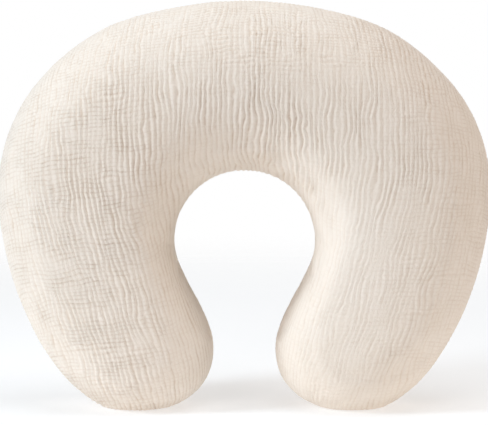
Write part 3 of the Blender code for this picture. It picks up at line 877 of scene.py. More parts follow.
class Board:
    """A node tree on which nodes are laid and joined."""

    def __init__(self, tree: bpy.types.NodeTree) -> None:
        """Start on a tree.

        Args:
            tree: the material's or group's tree.
        """
        self.tree = tree

    def node(self, kind: str, **settings: object) -> bpy.types.Node:
        """Lay a node with its settings."""
        made = self.tree.nodes.new(kind)
        for name, value in settings.items():
            setattr(made, name, value)
        return made

    def feed(self, target: bpy.types.NodeSocket, source: object) -> None:
        """Join a socket to another, or set its value."""
        if isinstance(source, bpy.types.NodeSocket):
            self.tree.links.new(source, target)
        elif source is not None:
            target.default_value = source

    def sum(self, operation: str, *values: object) -> bpy.types.NodeSocket:
        """Lay a Math node and feed it."""
        made = self.node("ShaderNodeMath", operation=operation)
        for socket, value in zip(made.inputs, values):
            self.feed(socket, value)
        return made.outputs[0]

    def noise(
        self, place: object, scale: float, detail: float = 2.0, rough: float = 0.5
    ) -> bpy.types.NodeSocket:
        """Lay a Noise node and give its value."""
        made = self.node("ShaderNodeTexNoise")
        self.feed(made.inputs["Vector"], place)
        made.inputs["Scale"].default_value = scale
        made.inputs["Detail"].default_value = detail
        made.inputs["Roughness"].default_value = rough
        return made.outputs["Fac"]

    def ramp(
        self, value: object, low: float, high: float, to_low: float = 0.0, to_high: float = 1.0
    ) -> bpy.types.NodeSocket:
        """Lay a smooth Map Range node and give its value."""
        made = self.node("ShaderNodeMapRange", interpolation_type="SMOOTHSTEP")
        for socket, source in zip(made.inputs[:5], (value, low, high, to_low, to_high)):
            self.feed(socket, source)
        return made.outputs["Result"]

    def blend(self, share: object, first: object, second: object) -> bpy.types.NodeSocket:
        """Lay a colour Mix node and give its colour."""
        made = self.node("ShaderNodeMix", data_type="RGBA")
        self.feed(made.inputs["Factor"], share)
        self.feed(made.inputs[6], first)
        self.feed(made.inputs[7], second)
        return made.outputs[2]

    def scaled(self, place: object, factors: tuple[float, float, float]) -> bpy.types.NodeSocket:
        """Lay a Mapping node that only scales."""
        made = self.node("ShaderNodeMapping")
        self.feed(made.inputs["Vector"], place)
        made.inputs["Scale"].default_value = factors
        return made.outputs["Vector"]


def start_group(
    name: str, inputs: dict[str, tuple[str, object]], outputs: dict[str, str]
) -> tuple[Board, bpy.types.Node, bpy.types.Node]:
    """Start a node group.

    Args:
        name: the group's name.
        inputs: type and first value of each input.
        outputs: type of each output.

    Returns:
        The board, the group's input node and its output node.
    """
    tree = bpy.data.node_groups.new(name, "ShaderNodeTree")
    for socket, (kind, value) in inputs.items():
        made = tree.interface.new_socket(name=socket, in_out="INPUT", socket_type=kind)
        if value is not None:
            made.default_value = value
    for socket, kind in outputs.items():
        tree.interface.new_socket(name=socket, in_out="OUTPUT", socket_type=kind)
    board = Board(tree)
    return board, board.node("NodeGroupInput"), board.node("NodeGroupOutput")


FLOAT, VECTOR, COLOUR = "NodeSocketFloat", "NodeSocketVector", "NodeSocketColor"


class Effects:
    """Node groups that several finishes share, each built once."""

    def __init__(self) -> None:
        """Build every group."""
        self.weave = self.build_weave()
        self.lint = self.build_lint()
        self.worn = self.build_worn()

    @staticmethod
    def build_weave() -> bpy.types.NodeTree:
        """Plain weave: a bump where each thread crosses over, and a mask for the shade painted between the
        threads.
        """
        board, given, out = start_group(
            "plain weave",
            {"Cloth": (VECTOR, None), "Threads": (FLOAT, 1600.0), "Slub": (FLOAT, 0.3)},
            {"Height": FLOAT, "Shade": FLOAT},
        )
        wander = board.node("ShaderNodeTexNoise")
        board.feed(wander.inputs["Vector"], given.outputs["Cloth"])
        wander.inputs["Scale"].default_value = 260.0
        shift = board.node("ShaderNodeVectorMath", operation="SCALE")
        board.feed(shift.inputs[0], wander.outputs["Color"])
        board.feed(shift.inputs["Scale"], board.sum("MULTIPLY", given.outputs["Slub"], 0.0012))
        placed = board.node("ShaderNodeVectorMath", operation="ADD")
        board.feed(placed.inputs[0], given.outputs["Cloth"])
        board.feed(placed.inputs[1], shift.outputs[0])
        apart = board.node("ShaderNodeSeparateXYZ")
        board.feed(apart.inputs[0], placed.outputs[0])
        waves = []
        for axis in ("X", "Y"):
            rate = board.sum("MULTIPLY", given.outputs["Threads"], math.pi)
            turned = board.sum("MULTIPLY", apart.outputs[axis], rate)
            waves.append(board.sum("SINE", turned))
        height = board.sum("ABSOLUTE", board.sum("MULTIPLY", waves[0], waves[1]))
        # mask for painted shade between the threads: low in the gaps, high on the threads
        gap_shade_mask = board.sum("MULTIPLY", board.sum("ABSOLUTE", waves[0]), board.sum("ABSOLUTE", waves[1]))
        board.feed(out.inputs["Height"], height)
        board.feed(out.inputs["Shade"], board.ramp(gap_shade_mask, 0.0, 0.45))
        return board.tree

    @staticmethod
    def build_lint() -> bpy.types.NodeTree:
        """Cotton's fine fuzz and its uneven dye."""
        board, given, out = start_group(
            "lint and dye",
            {"Place": (VECTOR, None), "Fineness": (FLOAT, 900.0)},
            {"Fleck": FLOAT, "Tone": FLOAT},
        )
        fleck = board.node("ShaderNodeTexNoise")
        board.feed(fleck.inputs["Vector"], given.outputs["Place"])
        board.feed(fleck.inputs["Scale"], given.outputs["Fineness"])
        fleck.inputs["Detail"].default_value = 3.0
        broad = board.noise(given.outputs["Place"], 9.0, 2.0)
        patch = board.noise(given.outputs["Place"], 42.0, 3.0)
        tone = board.sum("ADD", board.sum("MULTIPLY", broad, 0.6), board.sum("MULTIPLY", patch, 0.4))
        board.feed(out.inputs["Fleck"], fleck.outputs["Fac"])
        board.feed(out.inputs["Tone"], board.ramp(tone, 0.3, 0.7))
        return board.tree

    @staticmethod
    def build_worn() -> bpy.types.NodeTree:
        """Edges rubbed bright and fine scuffs, for small hard parts."""
        board, given, out = start_group(
            "worn edges", {"Place": (VECTOR, None), "Amount": (FLOAT, 0.5)}, {"Edge": FLOAT, "Scuff": FLOAT}
        )
        shape = board.node("ShaderNodeNewGeometry")
        edge = board.ramp(shape.outputs["Pointiness"], 0.52, 0.62)
        broken = board.ramp(board.noise(given.outputs["Place"], 700.0, 3.0), 0.35, 0.6)
        rubbed = board.sum("MULTIPLY", board.sum("MULTIPLY", edge, broken), given.outputs["Amount"])
        scuff = board.noise(board.scaled(given.outputs["Place"], (1.0, 6.0, 1.0)), 900.0, 4.0, 0.7)
        board.feed(out.inputs["Edge"], rubbed)
        board.feed(out.inputs["Scuff"], scuff)
        return board.tree


@dataclass(frozen=True)
class Finish:
    """What every finish has: its name, its first colour and its roughness."""

    name: str
    colour: tuple[float, float, float]
    roughness: float = 0.9

    def start(self) -> tuple[bpy.types.Material, Board, bpy.types.Node]:
        """Make an empty material with its shader."""
        material = bpy.data.materials.new(self.name)
        material.use_nodes = True
        material.diffuse_color = (*self.colour, 1.0)
        shader = material.node_tree.nodes["Principled BSDF"]
        shader.inputs["Roughness"].default_value = self.roughness
        shader.inputs["Base Color"].default_value = (*self.colour, 1.0)
        return material, Board(material.node_tree), shader

    @staticmethod
    def use(board: Board, group: bpy.types.NodeTree, **inputs: object) -> bpy.types.Node:
        """Place a shared group and feed it."""
        made = board.node("ShaderNodeGroup", node_tree=group)
        for name, value in inputs.items():
            board.feed(made.inputs[name], value)
        return made

    @staticmethod
    def bump(board: Board, shader: bpy.types.Node, height: object, distance: float) -> None:
        """Feed a height to the shader's normal."""
        made = board.node("ShaderNodeBump")
        made.inputs["Distance"].default_value = distance
        board.feed(made.inputs["Height"], height)
        board.feed(shader.inputs["Normal"], made.outputs["Normal"])


@dataclass(frozen=True)
class CrinkledCotton(Finish):
    """Washed double gauze, with painted shade in its furrows and between its threads, and light on its
    crests.
    """

    # colour of the shade painted into the furrows
    furrow_shade: tuple[float, float, float] = (0.66, 0.50, 0.37)
    furrow_shade_share: float = 0.72
    threads: float = 1500.0

    def make(self, effects: Effects) -> bpy.types.Material:
        """Build the material."""
        material, board, shader = self.start()
        folds = board.node("ShaderNodeUVMap", uv_map="folds").outputs[0]
        cloth = board.node("ShaderNodeUVMap", uv_map="cloth").outputs[0]
        place = board.node("ShaderNodeTexCoord").outputs["Object"]
        lint = self.use(board, effects.lint, Place=place)
        weave = self.use(board, effects.weave, Cloth=cloth, Threads=self.threads)
        counts, sizes = board.node("ShaderNodeSeparateXYZ"), board.node("ShaderNodeSeparateXYZ")
        board.feed(counts.inputs[0], folds)
        board.feed(sizes.inputs[0], board.node("ShaderNodeUVMap", uv_map="fold_sizes").outputs[0])
        lines = []
        for axis in ("X", "Y"):
            turned = board.sum("MULTIPLY", counts.outputs[axis], math.pi)
            wave = board.sum("ABSOLUTE", board.sum("SINE", turned))
            lines.append(board.sum("MULTIPLY", board.ramp(wave, 0.0, 0.85, 1.0, 0.0), sizes.outputs[axis]))
        # furrow mask: where shade is painted into the furrows; the same mask also lowers the bump height
        # below
        furrow_shade = board.sum("MAXIMUM", lines[0], board.sum("MULTIPLY", lines[1], 0.85))
        both = board.sum("MULTIPLY", board.sum("ADD", *lines), 0.15)
        furrow_shade = board.sum("ADD", board.sum("MULTIPLY", furrow_shade, 0.7), both)
        patches = board.noise(board.scaled(folds, (1.0, 0.5, 1.0)), 1.1, 3.0, 0.6)
        broken = board.ramp(patches, 0.30, 0.65, 0.25, 1.0)
        furrow_shade = board.sum("MULTIPLY", furrow_shade, broken)
        darker = tuple(c * f for c, f in zip(self.colour, (0.965, 0.95, 0.93)))
        dyed = board.blend(lint.outputs["Tone"], (*self.colour, 1.0), (*darker, 1.0))
        # painted shade: the furrows are blended towards a darker, warmer colour, as if the folds shaded them
        shaded = board.blend(board.sum("MULTIPLY", furrow_shade, self.furrow_shade_share), dyed, (*self.furrow_shade, 1.0))
        # painted shade between the threads: the weave's gaps are blended towards the furrow shade colour
        gap_shade_mask = board.ramp(weave.outputs["Shade"], 0.0, 1.0, 0.10, 0.0)
        threaded = board.blend(gap_shade_mask, shaded, (*self.furrow_shade, 1.0))
        board.feed(shader.inputs["Base Color"], threaded)
        board.feed(shader.inputs["Roughness"], board.ramp(lint.outputs["Fleck"], 0.2, 0.8, 0.82, 0.98))
        shader.inputs["Sheen Weight"].default_value = 0.25
        shader.inputs["Sheen Roughness"].default_value = 0.6
        shader.inputs["Sheen Tint"].default_value = (1.0, 0.96, 0.90, 1.0)
        shader.inputs["Specular IOR Level"].default_value = 0.15
        fine = board.noise(board.scaled(folds, (1.0, 0.55, 1.0)), 2.6, 3.0, 0.6)
        height = board.sum("SUBTRACT", board.sum("MULTIPLY", fine, 0.9), board.sum("MULTIPLY", furrow_shade, 0.75))
        height = board.sum("ADD", height, board.sum("MULTIPLY", weave.outputs["Height"], 0.12))
        height = board.sum("ADD", height, board.sum("MULTIPLY", lint.outputs["Fleck"], 0.10))
        self.bump(board, shader, height, 0.00055)
        return material


@dataclass(frozen=True)
class PlainCloth(Finish):
    """Plain woven cloth, such as calico, ribbon or zip tape."""

    threads: float = 1300.0
    slub: float = 0.3
    # how strongly shade is painted into the gaps between the threads
    gap_shade_share: float = 0.16
    sheen: float = 0.15
    relief: float = 0.00010
    map_name: str = "cloth"

    def make(self, effects: Effects) -> bpy.types.Material:
        """Build the material."""
        material, board, shader = self.start()
        cloth = board.node("ShaderNodeUVMap", uv_map=self.map_name).outputs[0]
        place = board.node("ShaderNodeTexCoord").outputs["Object"]
        lint = self.use(board, effects.lint, Place=place)
        weave = self.use(board, effects.weave, Cloth=cloth, Threads=self.threads, Slub=self.slub)
        darker = (*(c * 0.93 for c in self.colour), 1.0)
        # deep: the colour of the shade painted between the threads
        deep = (*(c * 0.55 for c in self.colour), 1.0)
        dyed = board.blend(lint.outputs["Tone"], (*self.colour, 1.0), darker)
        # painted shade: the weave's gaps are blended towards the deep colour
        share = board.ramp(weave.outputs["Shade"], 0.0, 1.0, self.gap_shade_share, 0.0)
        board.feed(shader.inputs["Base Color"], board.blend(share, dyed, deep))
        low, high = self.roughness - 0.08, min(self.roughness + 0.06, 1.0)
        board.feed(shader.inputs["Roughness"], board.ramp(lint.outputs["Fleck"], 0.2, 0.8, low, high))
        shader.inputs["Sheen Weight"].default_value = self.sheen
        shader.inputs["Specular IOR Level"].default_value = 0.25
        height = board.sum("ADD", weave.outputs["Height"], board.sum("MULTIPLY", lint.outputs["Fleck"], 0.3))
        self.bump(board, shader, height, self.relief)
        return material


@dataclass(frozen=True)
class SpunThread(Finish):
    """Twisted cotton thread."""

    twist: float = 2600.0

    def make(self, effects: Effects) -> bpy.types.Material:
        """Build the material."""
        material, board, shader = self.start()
        place = board.node("ShaderNodeTexCoord").outputs["Object"]
        lint = self.use(board, effects.lint, Place=place, Fineness=2400.0)
        apart = board.node("ShaderNodeSeparateXYZ")
        board.feed(apart.inputs[0], place)
        slant = board.sum("ADD", board.sum("ADD", apart.outputs["X"], apart.outputs["Y"]), apart.outputs["Z"])
        plies = board.sum("ABSOLUTE", board.sum("SINE", board.sum("MULTIPLY", slant, self.twist)))
        # painted shade in the grooves between the plies: the colour darkens to 62% there
        groove = (*(c * 0.62 for c in self.colour), 1.0)
        plied = board.blend(board.ramp(plies, 0.0, 0.5), groove, (*self.colour, 1.0))
        board.feed(shader.inputs["Base Color"], plied)
        board.feed(shader.inputs["Roughness"], board.ramp(lint.outputs["Fleck"], 0.2, 0.8, 0.6, 0.85))
        shader.inputs["Sheen Weight"].default_value = 0.2
        self.bump(board, shader, board.sum("ADD", plies, lint.outputs["Fleck"]), 0.00008)
        return material


@dataclass(frozen=True)
class SmallHardware(Finish):
    """Moulded nylon or enamelled metal, with rubbed edges and fine scuffs."""

    under: tuple[float, float, float] = (0.60, 0.56, 0.50)
    edge: float = 0.5
    edge_metal: float = 0.0
    coat: float = 0.0
    grain: float = 0.00002

    def make(self, effects: Effects) -> bpy.types.Material:
        """Build the material."""
        material, board, shader = self.start()
        place = board.node("ShaderNodeTexCoord").outputs["Object"]
        worn = self.use(board, effects.worn, Place=place, Amount=self.edge)
        lint = self.use(board, effects.lint, Place=place, Fineness=1500.0)
        darker = (*(c * 0.9 for c in self.colour), 1.0)
        dyed = board.blend(lint.outputs["Tone"], (*self.colour, 1.0), darker)
        board.feed(
            shader.inputs["Base Color"], board.blend(worn.outputs["Edge"], dyed, (*self.under, 1.0))
        )
        low, high = self.roughness - 0.10, self.roughness + 0.14
        board.feed(shader.inputs["Roughness"], board.ramp(worn.outputs["Scuff"], 0.35, 0.65, low, high))
        if self.edge_metal:
            bare = board.sum("MULTIPLY", worn.outputs["Edge"], self.edge_metal)
            board.feed(shader.inputs["Metallic"], bare)
        shader.inputs["Coat Weight"].default_value = self.coat
        self.bump(board, shader, worn.outputs["Scuff"], self.grain)
        return material


@dataclass(frozen=True)
class CardedFibre(Finish):
    """Loose white polyester fibre."""

    def make(self, effects: Effects) -> bpy.types.Material:
        """Build the material."""
        material, board, shader = self.start()
        place = board.node("ShaderNodeTexCoord").outputs["Object"]
        lint = self.use(board, effects.lint, Place=place, Fineness=320.0)
        strands = board.noise(board.scaled(place, (1.0, 5.0, 1.4)), 160.0, 5.0, 0.7)
        # painted shade inside the loose fibre: grey where the strand noise is low, white on the strands
        shade = board.blend(board.ramp(strands, 0.3, 0.62), (0.62, 0.63, 0.65, 1.0), (*self.colour, 1.0))
        patches = board.ramp(lint.outputs["Tone"], 0.0, 1.0, 0.0, 0.2)
        board.feed(shader.inputs["Base Color"], board.blend(patches, shade, (0.80, 0.79, 0.77, 1.0)))
        board.feed(shader.inputs["Roughness"], board.ramp(lint.outputs["Fleck"], 0.2, 0.8, 0.8, 1.0))
        shader.inputs["Sheen Weight"].default_value = 0.5
        self.bump(board, shader, board.sum("ADD", strands, lint.outputs["Fleck"]), 0.0016)
        return material


class Wardrobe:
    """Every finish of the pillow, made once."""

    def __init__(self) -> None:
        """Make the materials."""
        effects = Effects()
        self.cotton = CrinkledCotton("crinkled cotton", (0.918, 0.828, 0.735)).make(effects)
        self.calico = PlainCloth("calico", (0.86, 0.83, 0.77), 0.9, threads=1100.0, slub=0.6).make(effects)
        self.satin = PlainCloth(
            "satin ribbon", (0.91, 0.89, 0.85), 0.42,
            threads=2600.0, slub=0.1, gap_shade_share=0.08, sheen=0.4, relief=0.00003,
        ).make(effects)
        self.tape = PlainCloth(
            "zip tape", (0.80, 0.72, 0.62), 0.8, threads=1000.0, slub=0.1, gap_shade_share=0.3, relief=0.00014
        ).make(effects)
        self.thread = SpunThread("sewing thread", (0.86, 0.78, 0.68), 0.7).make(effects)
        self.nylon = SmallHardware(
            "moulded nylon", (0.80, 0.72, 0.62), 0.38, edge=0.15, coat=0.1
        ).make(effects)
        self.enamel = SmallHardware(
            "enamelled metal", (0.78, 0.70, 0.60), 0.30, edge=0.7, edge_metal=0.9, coat=0.4
        ).make(effects)
        self.fibre = CardedFibre("polyester fibre", (0.93, 0.93, 0.94), 0.95).make(effects)


def dress(piece: bpy.types.Object, material: bpy.types.Material) -> bpy.types.Object:
    """Give a piece its material and its slot, let it ride on the pillow, and report it.

    Args:
        piece: the piece.
        material: its finish.

    Returns:
        The same piece.
    """
    piece.data.materials.clear()
    piece.data.materials.append(material)
    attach(piece, PILLOW_BODY)
    LOG.info("%s: %d faces, %s", piece.name, len(piece.data.polygons), material.name)
    return piece


# ---------------------------------------------------------------- sub-assemblies


@dataclass
class SeamThread:
    """Lockstitches that hold two panels together along their seam."""

    form: PillowForm
    seam_y: float
    depth: float
    stitch: float = 0.0026
    radius: float = 0.00036
    whole: bool = False
    start: float = 0.134

    def edge(self, along: np.ndarray, inner: bool) -> np.ndarray:
        """Points of the seam on the outer or the inner side of the body, a little below its surface."""
        sections = self.form.sections(along)
        tilt = np.arcsin(np.clip(self.seam_y / np.maximum(sections.half_depth, 1e-6), -1, 1))
        angles = (math.pi - tilt if inner else tilt)[:, None]
        normals = self.form.normals(sections, angles)[:, 0]
        normals[0] = normals[1]
        if self.seam_y > 0:
            normals[-1] = normals[-2]
        return self.form.points(sections, angles)[:, 0] - normals * self.depth

    def path(self) -> np.ndarray:
        """Points along the seam of the right half, from the zip's end round the leg to the throat."""
        apex = self.form.apex(self.seam_y) if self.seam_y > 0 else self.form.half_length
        shares = 1 - np.linspace(1, 0, 900) ** 2
        first = 0.0 if self.whole else self.start
        outer = self.edge(first + (apex - first) * shares, False)
        points = np.concatenate([outer, self.edge(apex * shares, True)[::-1]])
        points[:, 2] = np.maximum(points[:, 2], self.radius)
        return points

    def even_path(self) -> np.ndarray:
        """The whole seam at even steps, four to a stitch."""
        right = self.path()
        step = np.linalg.norm(np.diff(right, axis=0), axis=1)
        right = right[np.concatenate([[True], step > 1e-6])]
        left = right * np.array([-1.0, 1.0, 1.0])
        line = np.concatenate([left, right[::-1][1:]])
        if self.whole:
            line = line[:-1]
        lengths = np.concatenate([[0.0], np.cumsum(np.linalg.norm(np.diff(line, axis=0), axis=1))])
        places = np.arange(0, lengths[-1], self.stitch / 4)
        return np.stack([np.interp(places, lengths, line[:, i]) for i in range(3)], axis=-1)

    def build(self, name: str, node: str, wardrobe: Wardrobe) -> bpy.types.Object:
        """Make the thread and put it in the place of its node."""
        path = self.even_path()
        beat = np.arange(len(path)) * math.pi / 4
        path[:, 1] += np.sin(beat) * self.radius * 0.5
        radii = self.radius * (0.72 + 0.28 * np.abs(np.sin(beat)))
        made = sweep(name, path, radii, 6, self.whole)
        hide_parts(node)
        return dress(made, wardrobe.thread)


@dataclass
class Cover:
    """The crinkled cover: two panels, their seam and a blank care label."""

    form: PillowForm
    seam_y: float = 0.032
    layers: dict[str, bpy.types.Object] = field(default_factory=dict)

    def build(self, wardrobe: Wardrobe) -> None:
        """Make the cover.

        Args:
            wardrobe: the finishes.
        """
        stuffing = Stuffing(self.form, self.seam_y)
        swell = stuffing.swell()
        opening = Opening()
        for side in Side:
            word = side.name.lower()
            spacing = 0.0017
            cut = PanelCut(
                self.form, side, self.seam_y, spacing=spacing, round_spacing=spacing, opening=opening
            )
            piece = Panel(cut, stuffing, swell, Crinkle()).build(f"crinkled_{word}_panel")
            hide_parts(f"cover_{word}_panel")
            dress(piece, wardrobe.cotton)
            self.layers[word] = piece
        thread = SeamThread(self.form, self.seam_y, 0.0021)
        thread.build("cover_seam_stitches", "cover_seam_thread", wardrobe)
        RibbonLabel(self.form, "care_label", 1).build("folded_care_label", self.layers["back"], wardrobe)


@dataclass
class Cushion:
    """The cushion inside the cover: a calico casing, its seam and its filling."""

    form: PillowForm
    casing_depth: float = 0.0040
    fill_depth: float = 0.0058
    fill_rows: int = 260
    fill_columns: int = 96
    lump_length: float = 0.022
    lump_height: float = 0.0012
    lumps_round: int = 24

    def build(self, wardrobe: Wardrobe) -> None:
        """Make the cushion.

        Args:
            wardrobe: the finishes.
        """
        stuffing = Stuffing(self.form, 0.0)
        still = np.zeros((stuffing.rows, stuffing.columns))
        for side in Side:
            word = side.name.lower()
            cut = PanelCut(
                self.form, side, 0.0, depth=self.casing_depth, spacing=0.004, round_spacing=0.004,
                roll=0.003, groove=0.0008, hem_depths=(0.0012,),
            )
            piece = Panel(cut, stuffing, still, None, pucker=0.0002).build(f"calico_{word}_panel")
            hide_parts(f"casing_{word}_panel")
            dress(piece, wardrobe.calico)
        thread = SeamThread(self.form, 0.0, 0.0043, whole=True)
        thread.build("casing_seam_stitches", "casing_seam_thread", wardrobe)
        # the label lies on the back panel, the last one made
        RibbonLabel(self.form, "casing_label", -1, 0.0001).build("folded_casing_label", piece, wardrobe)
        self.build_fill(wardrobe)

    def build_fill(self, wardrobe: Wardrobe) -> None:
        """Make the lumpy fibre filling."""
        reach = self.form.half_length
        sections = self.form.sections(np.linspace(-reach, reach, self.fill_rows))
        angles = np.tile(np.arange(self.fill_columns) * TURN / self.fill_columns, (self.fill_rows, 1))
        points = self.form.points(sections, angles)
        normals = self.form.normals(sections, angles)
        places = sections.along[:, None] / self.lump_length + 0 * angles, angles / TURN * self.lumps_round
        depth = self.fill_depth + self.lump_height * (Noise(71).at(*places) * 0.5 + 0.5)
        shown = points - normals * depth[..., None]
        shown[..., 2] = np.maximum(shown[..., 2], self.fill_depth)
        maps = {"OFBake": corner_values(bake_grid(self.fill_rows, self.fill_columns + 1))}
        faces = closed_skin_faces(self.fill_rows, self.fill_columns)
        piece = make_mesh("carded_filling", shown.reshape(-1, 3), faces, maps)
        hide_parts("fibre_fill")
        dress(piece, wardrobe.fibre)


def cover_heights(panels: Sequence[bpy.types.Object], points: np.ndarray, normals: np.ndarray) -> np.ndarray:
    """How far the finished panels stand above smooth places.

    Args:
        panels: the panels that lie there.
        points: smooth places.
        normals: outward directions at those places.

    Returns:
        Heights, 0 where no panel is found.
    """
    reach = 0.012
    trees = [BVHTree.FromObject(panel, bpy.context.evaluated_depsgraph_get()) for panel in panels]
    heights = []
    for point, normal in zip(points.reshape(-1, 3), normals.reshape(-1, 3)):
        start = Vector(point + normal * reach)
        hits = [tree.ray_cast(start, Vector(-normal), reach * 2)[3] for tree in trees]
        found = [reach - hit for hit in hits if hit is not None]
        heights.append(max(found, default=0.0))
    return np.array(heights).reshape(points.shape[:-1])


@dataclass
class RibbonLabel:
    """A blank satin ribbon folded in two, with its ends sewn into a seam."""

    form: PillowForm
    node: str
    leg: int
    curl: float = 0.0016
    fold: float = 0.0003
    clear: float = 0.0004

    def skin(self, ys: np.ndarray, zs: np.ndarray) -> tuple[np.ndarray, np.ndarray]:
        """Places and outward directions on the outside of a leg.

        Args:
            ys: places behind the middle of the body.
            zs: heights.

        Returns:
            Points and directions, heights by places.
        """
        reach = self.form.half_length
        sections = self.form.sections(np.linspace(self.form.crown_length, reach * 0.93, 500))
        angles = np.arcsin(np.clip(ys[None] / np.maximum(sections.half_depth, 1e-6)[:, None], -1, 1))
        points, normals = self.form.points(sections, angles), self.form.normals(sections, angles)
        found = np.empty((2, len(zs), len(ys), 3))
        for column in range(len(ys)):
            heights = points[::-1, column, 2]
            for axis in range(3):
                found[0, :, column, axis] = np.interp(zs, heights, points[::-1, column, axis])
                found[1, :, column, axis] = np.interp(zs, heights, normals[::-1, column, axis])
        return found[0], unit(found[1])

    @staticmethod
    def over_bumps(bumps: np.ndarray) -> np.ndarray:
        """A stiff, smooth layer that clears the bumps under it."""
        rows, columns = bumps.shape
        high = np.pad(bumps, 3, mode="edge")
        rest = np.max([high[i : i + rows, j : j + columns] for i in range(7) for j in range(7)], axis=0)
        for _ in range(4):
            padded = np.pad(rest, 2, mode="edge")
            rest = sum(padded[i : i + rows, j : j + columns] for i in range(5) for j in range(5)) / 25
        return rest

    def build(self, name: str, panel: bpy.types.Object, wardrobe: Wardrobe) -> bpy.types.Object:
        """Make the label in the place of its node.

        Args:
            name: the piece's name.
            panel: the panel that it lies on.
            wardrobe: the finishes.

        Returns:
            The label.
        """
        low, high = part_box(self.node)
        near = np.linspace(low[1], high[1], 30)
        far = near[::-1]
        bend = high[1] + self.fold * np.sin(np.linspace(0, math.pi, 7)[1:-1])
        ys = np.concatenate([near, bend, far])
        curl = self.curl * ease((near - low[1]) / (high[1] - low[1])) ** 2
        zs = np.linspace(low[2], high[2], 26)
        smooth, outwards = self.skin(near, zs)
        mirror = np.array([self.leg, 1.0, 1.0])
        bumps = cover_heights([panel], smooth * mirror, outwards * mirror)
        lower = self.over_bumps(bumps) + self.clear + curl
        rise = np.linspace(0, 1, 7)[1:-1]
        upper = lower[:, ::-1] + 2 * self.fold
        lift = np.concatenate([lower, lower[:, -1:] + 2 * self.fold * ease(rise), upper], axis=1)
        points, normals = self.skin(ys, zs)
        places = np.meshgrid(zs / 0.009, ys / 0.012, indexing="ij")
        sway = 0.00025 * Noise(61).at(*places)
        shown = points + normals * (lift + sway)[..., None]
        shown[..., 0] *= self.leg
        walked = np.concatenate([[0.0], np.cumsum(np.linalg.norm(np.diff(shown[13], axis=0), axis=1))])
        cloth = np.stack(np.broadcast_arrays(zs[:, None], walked[None]), axis=-1)
        maps = {"OFBake": corner_values(bake_grid(len(zs), len(ys))), "cloth": corner_values(cloth)}
        piece = make_mesh(name, shown.reshape(-1, 3), grid_faces(len(zs), len(ys)), maps)
        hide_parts(self.node)
        return dress(piece, wardrobe.satin)


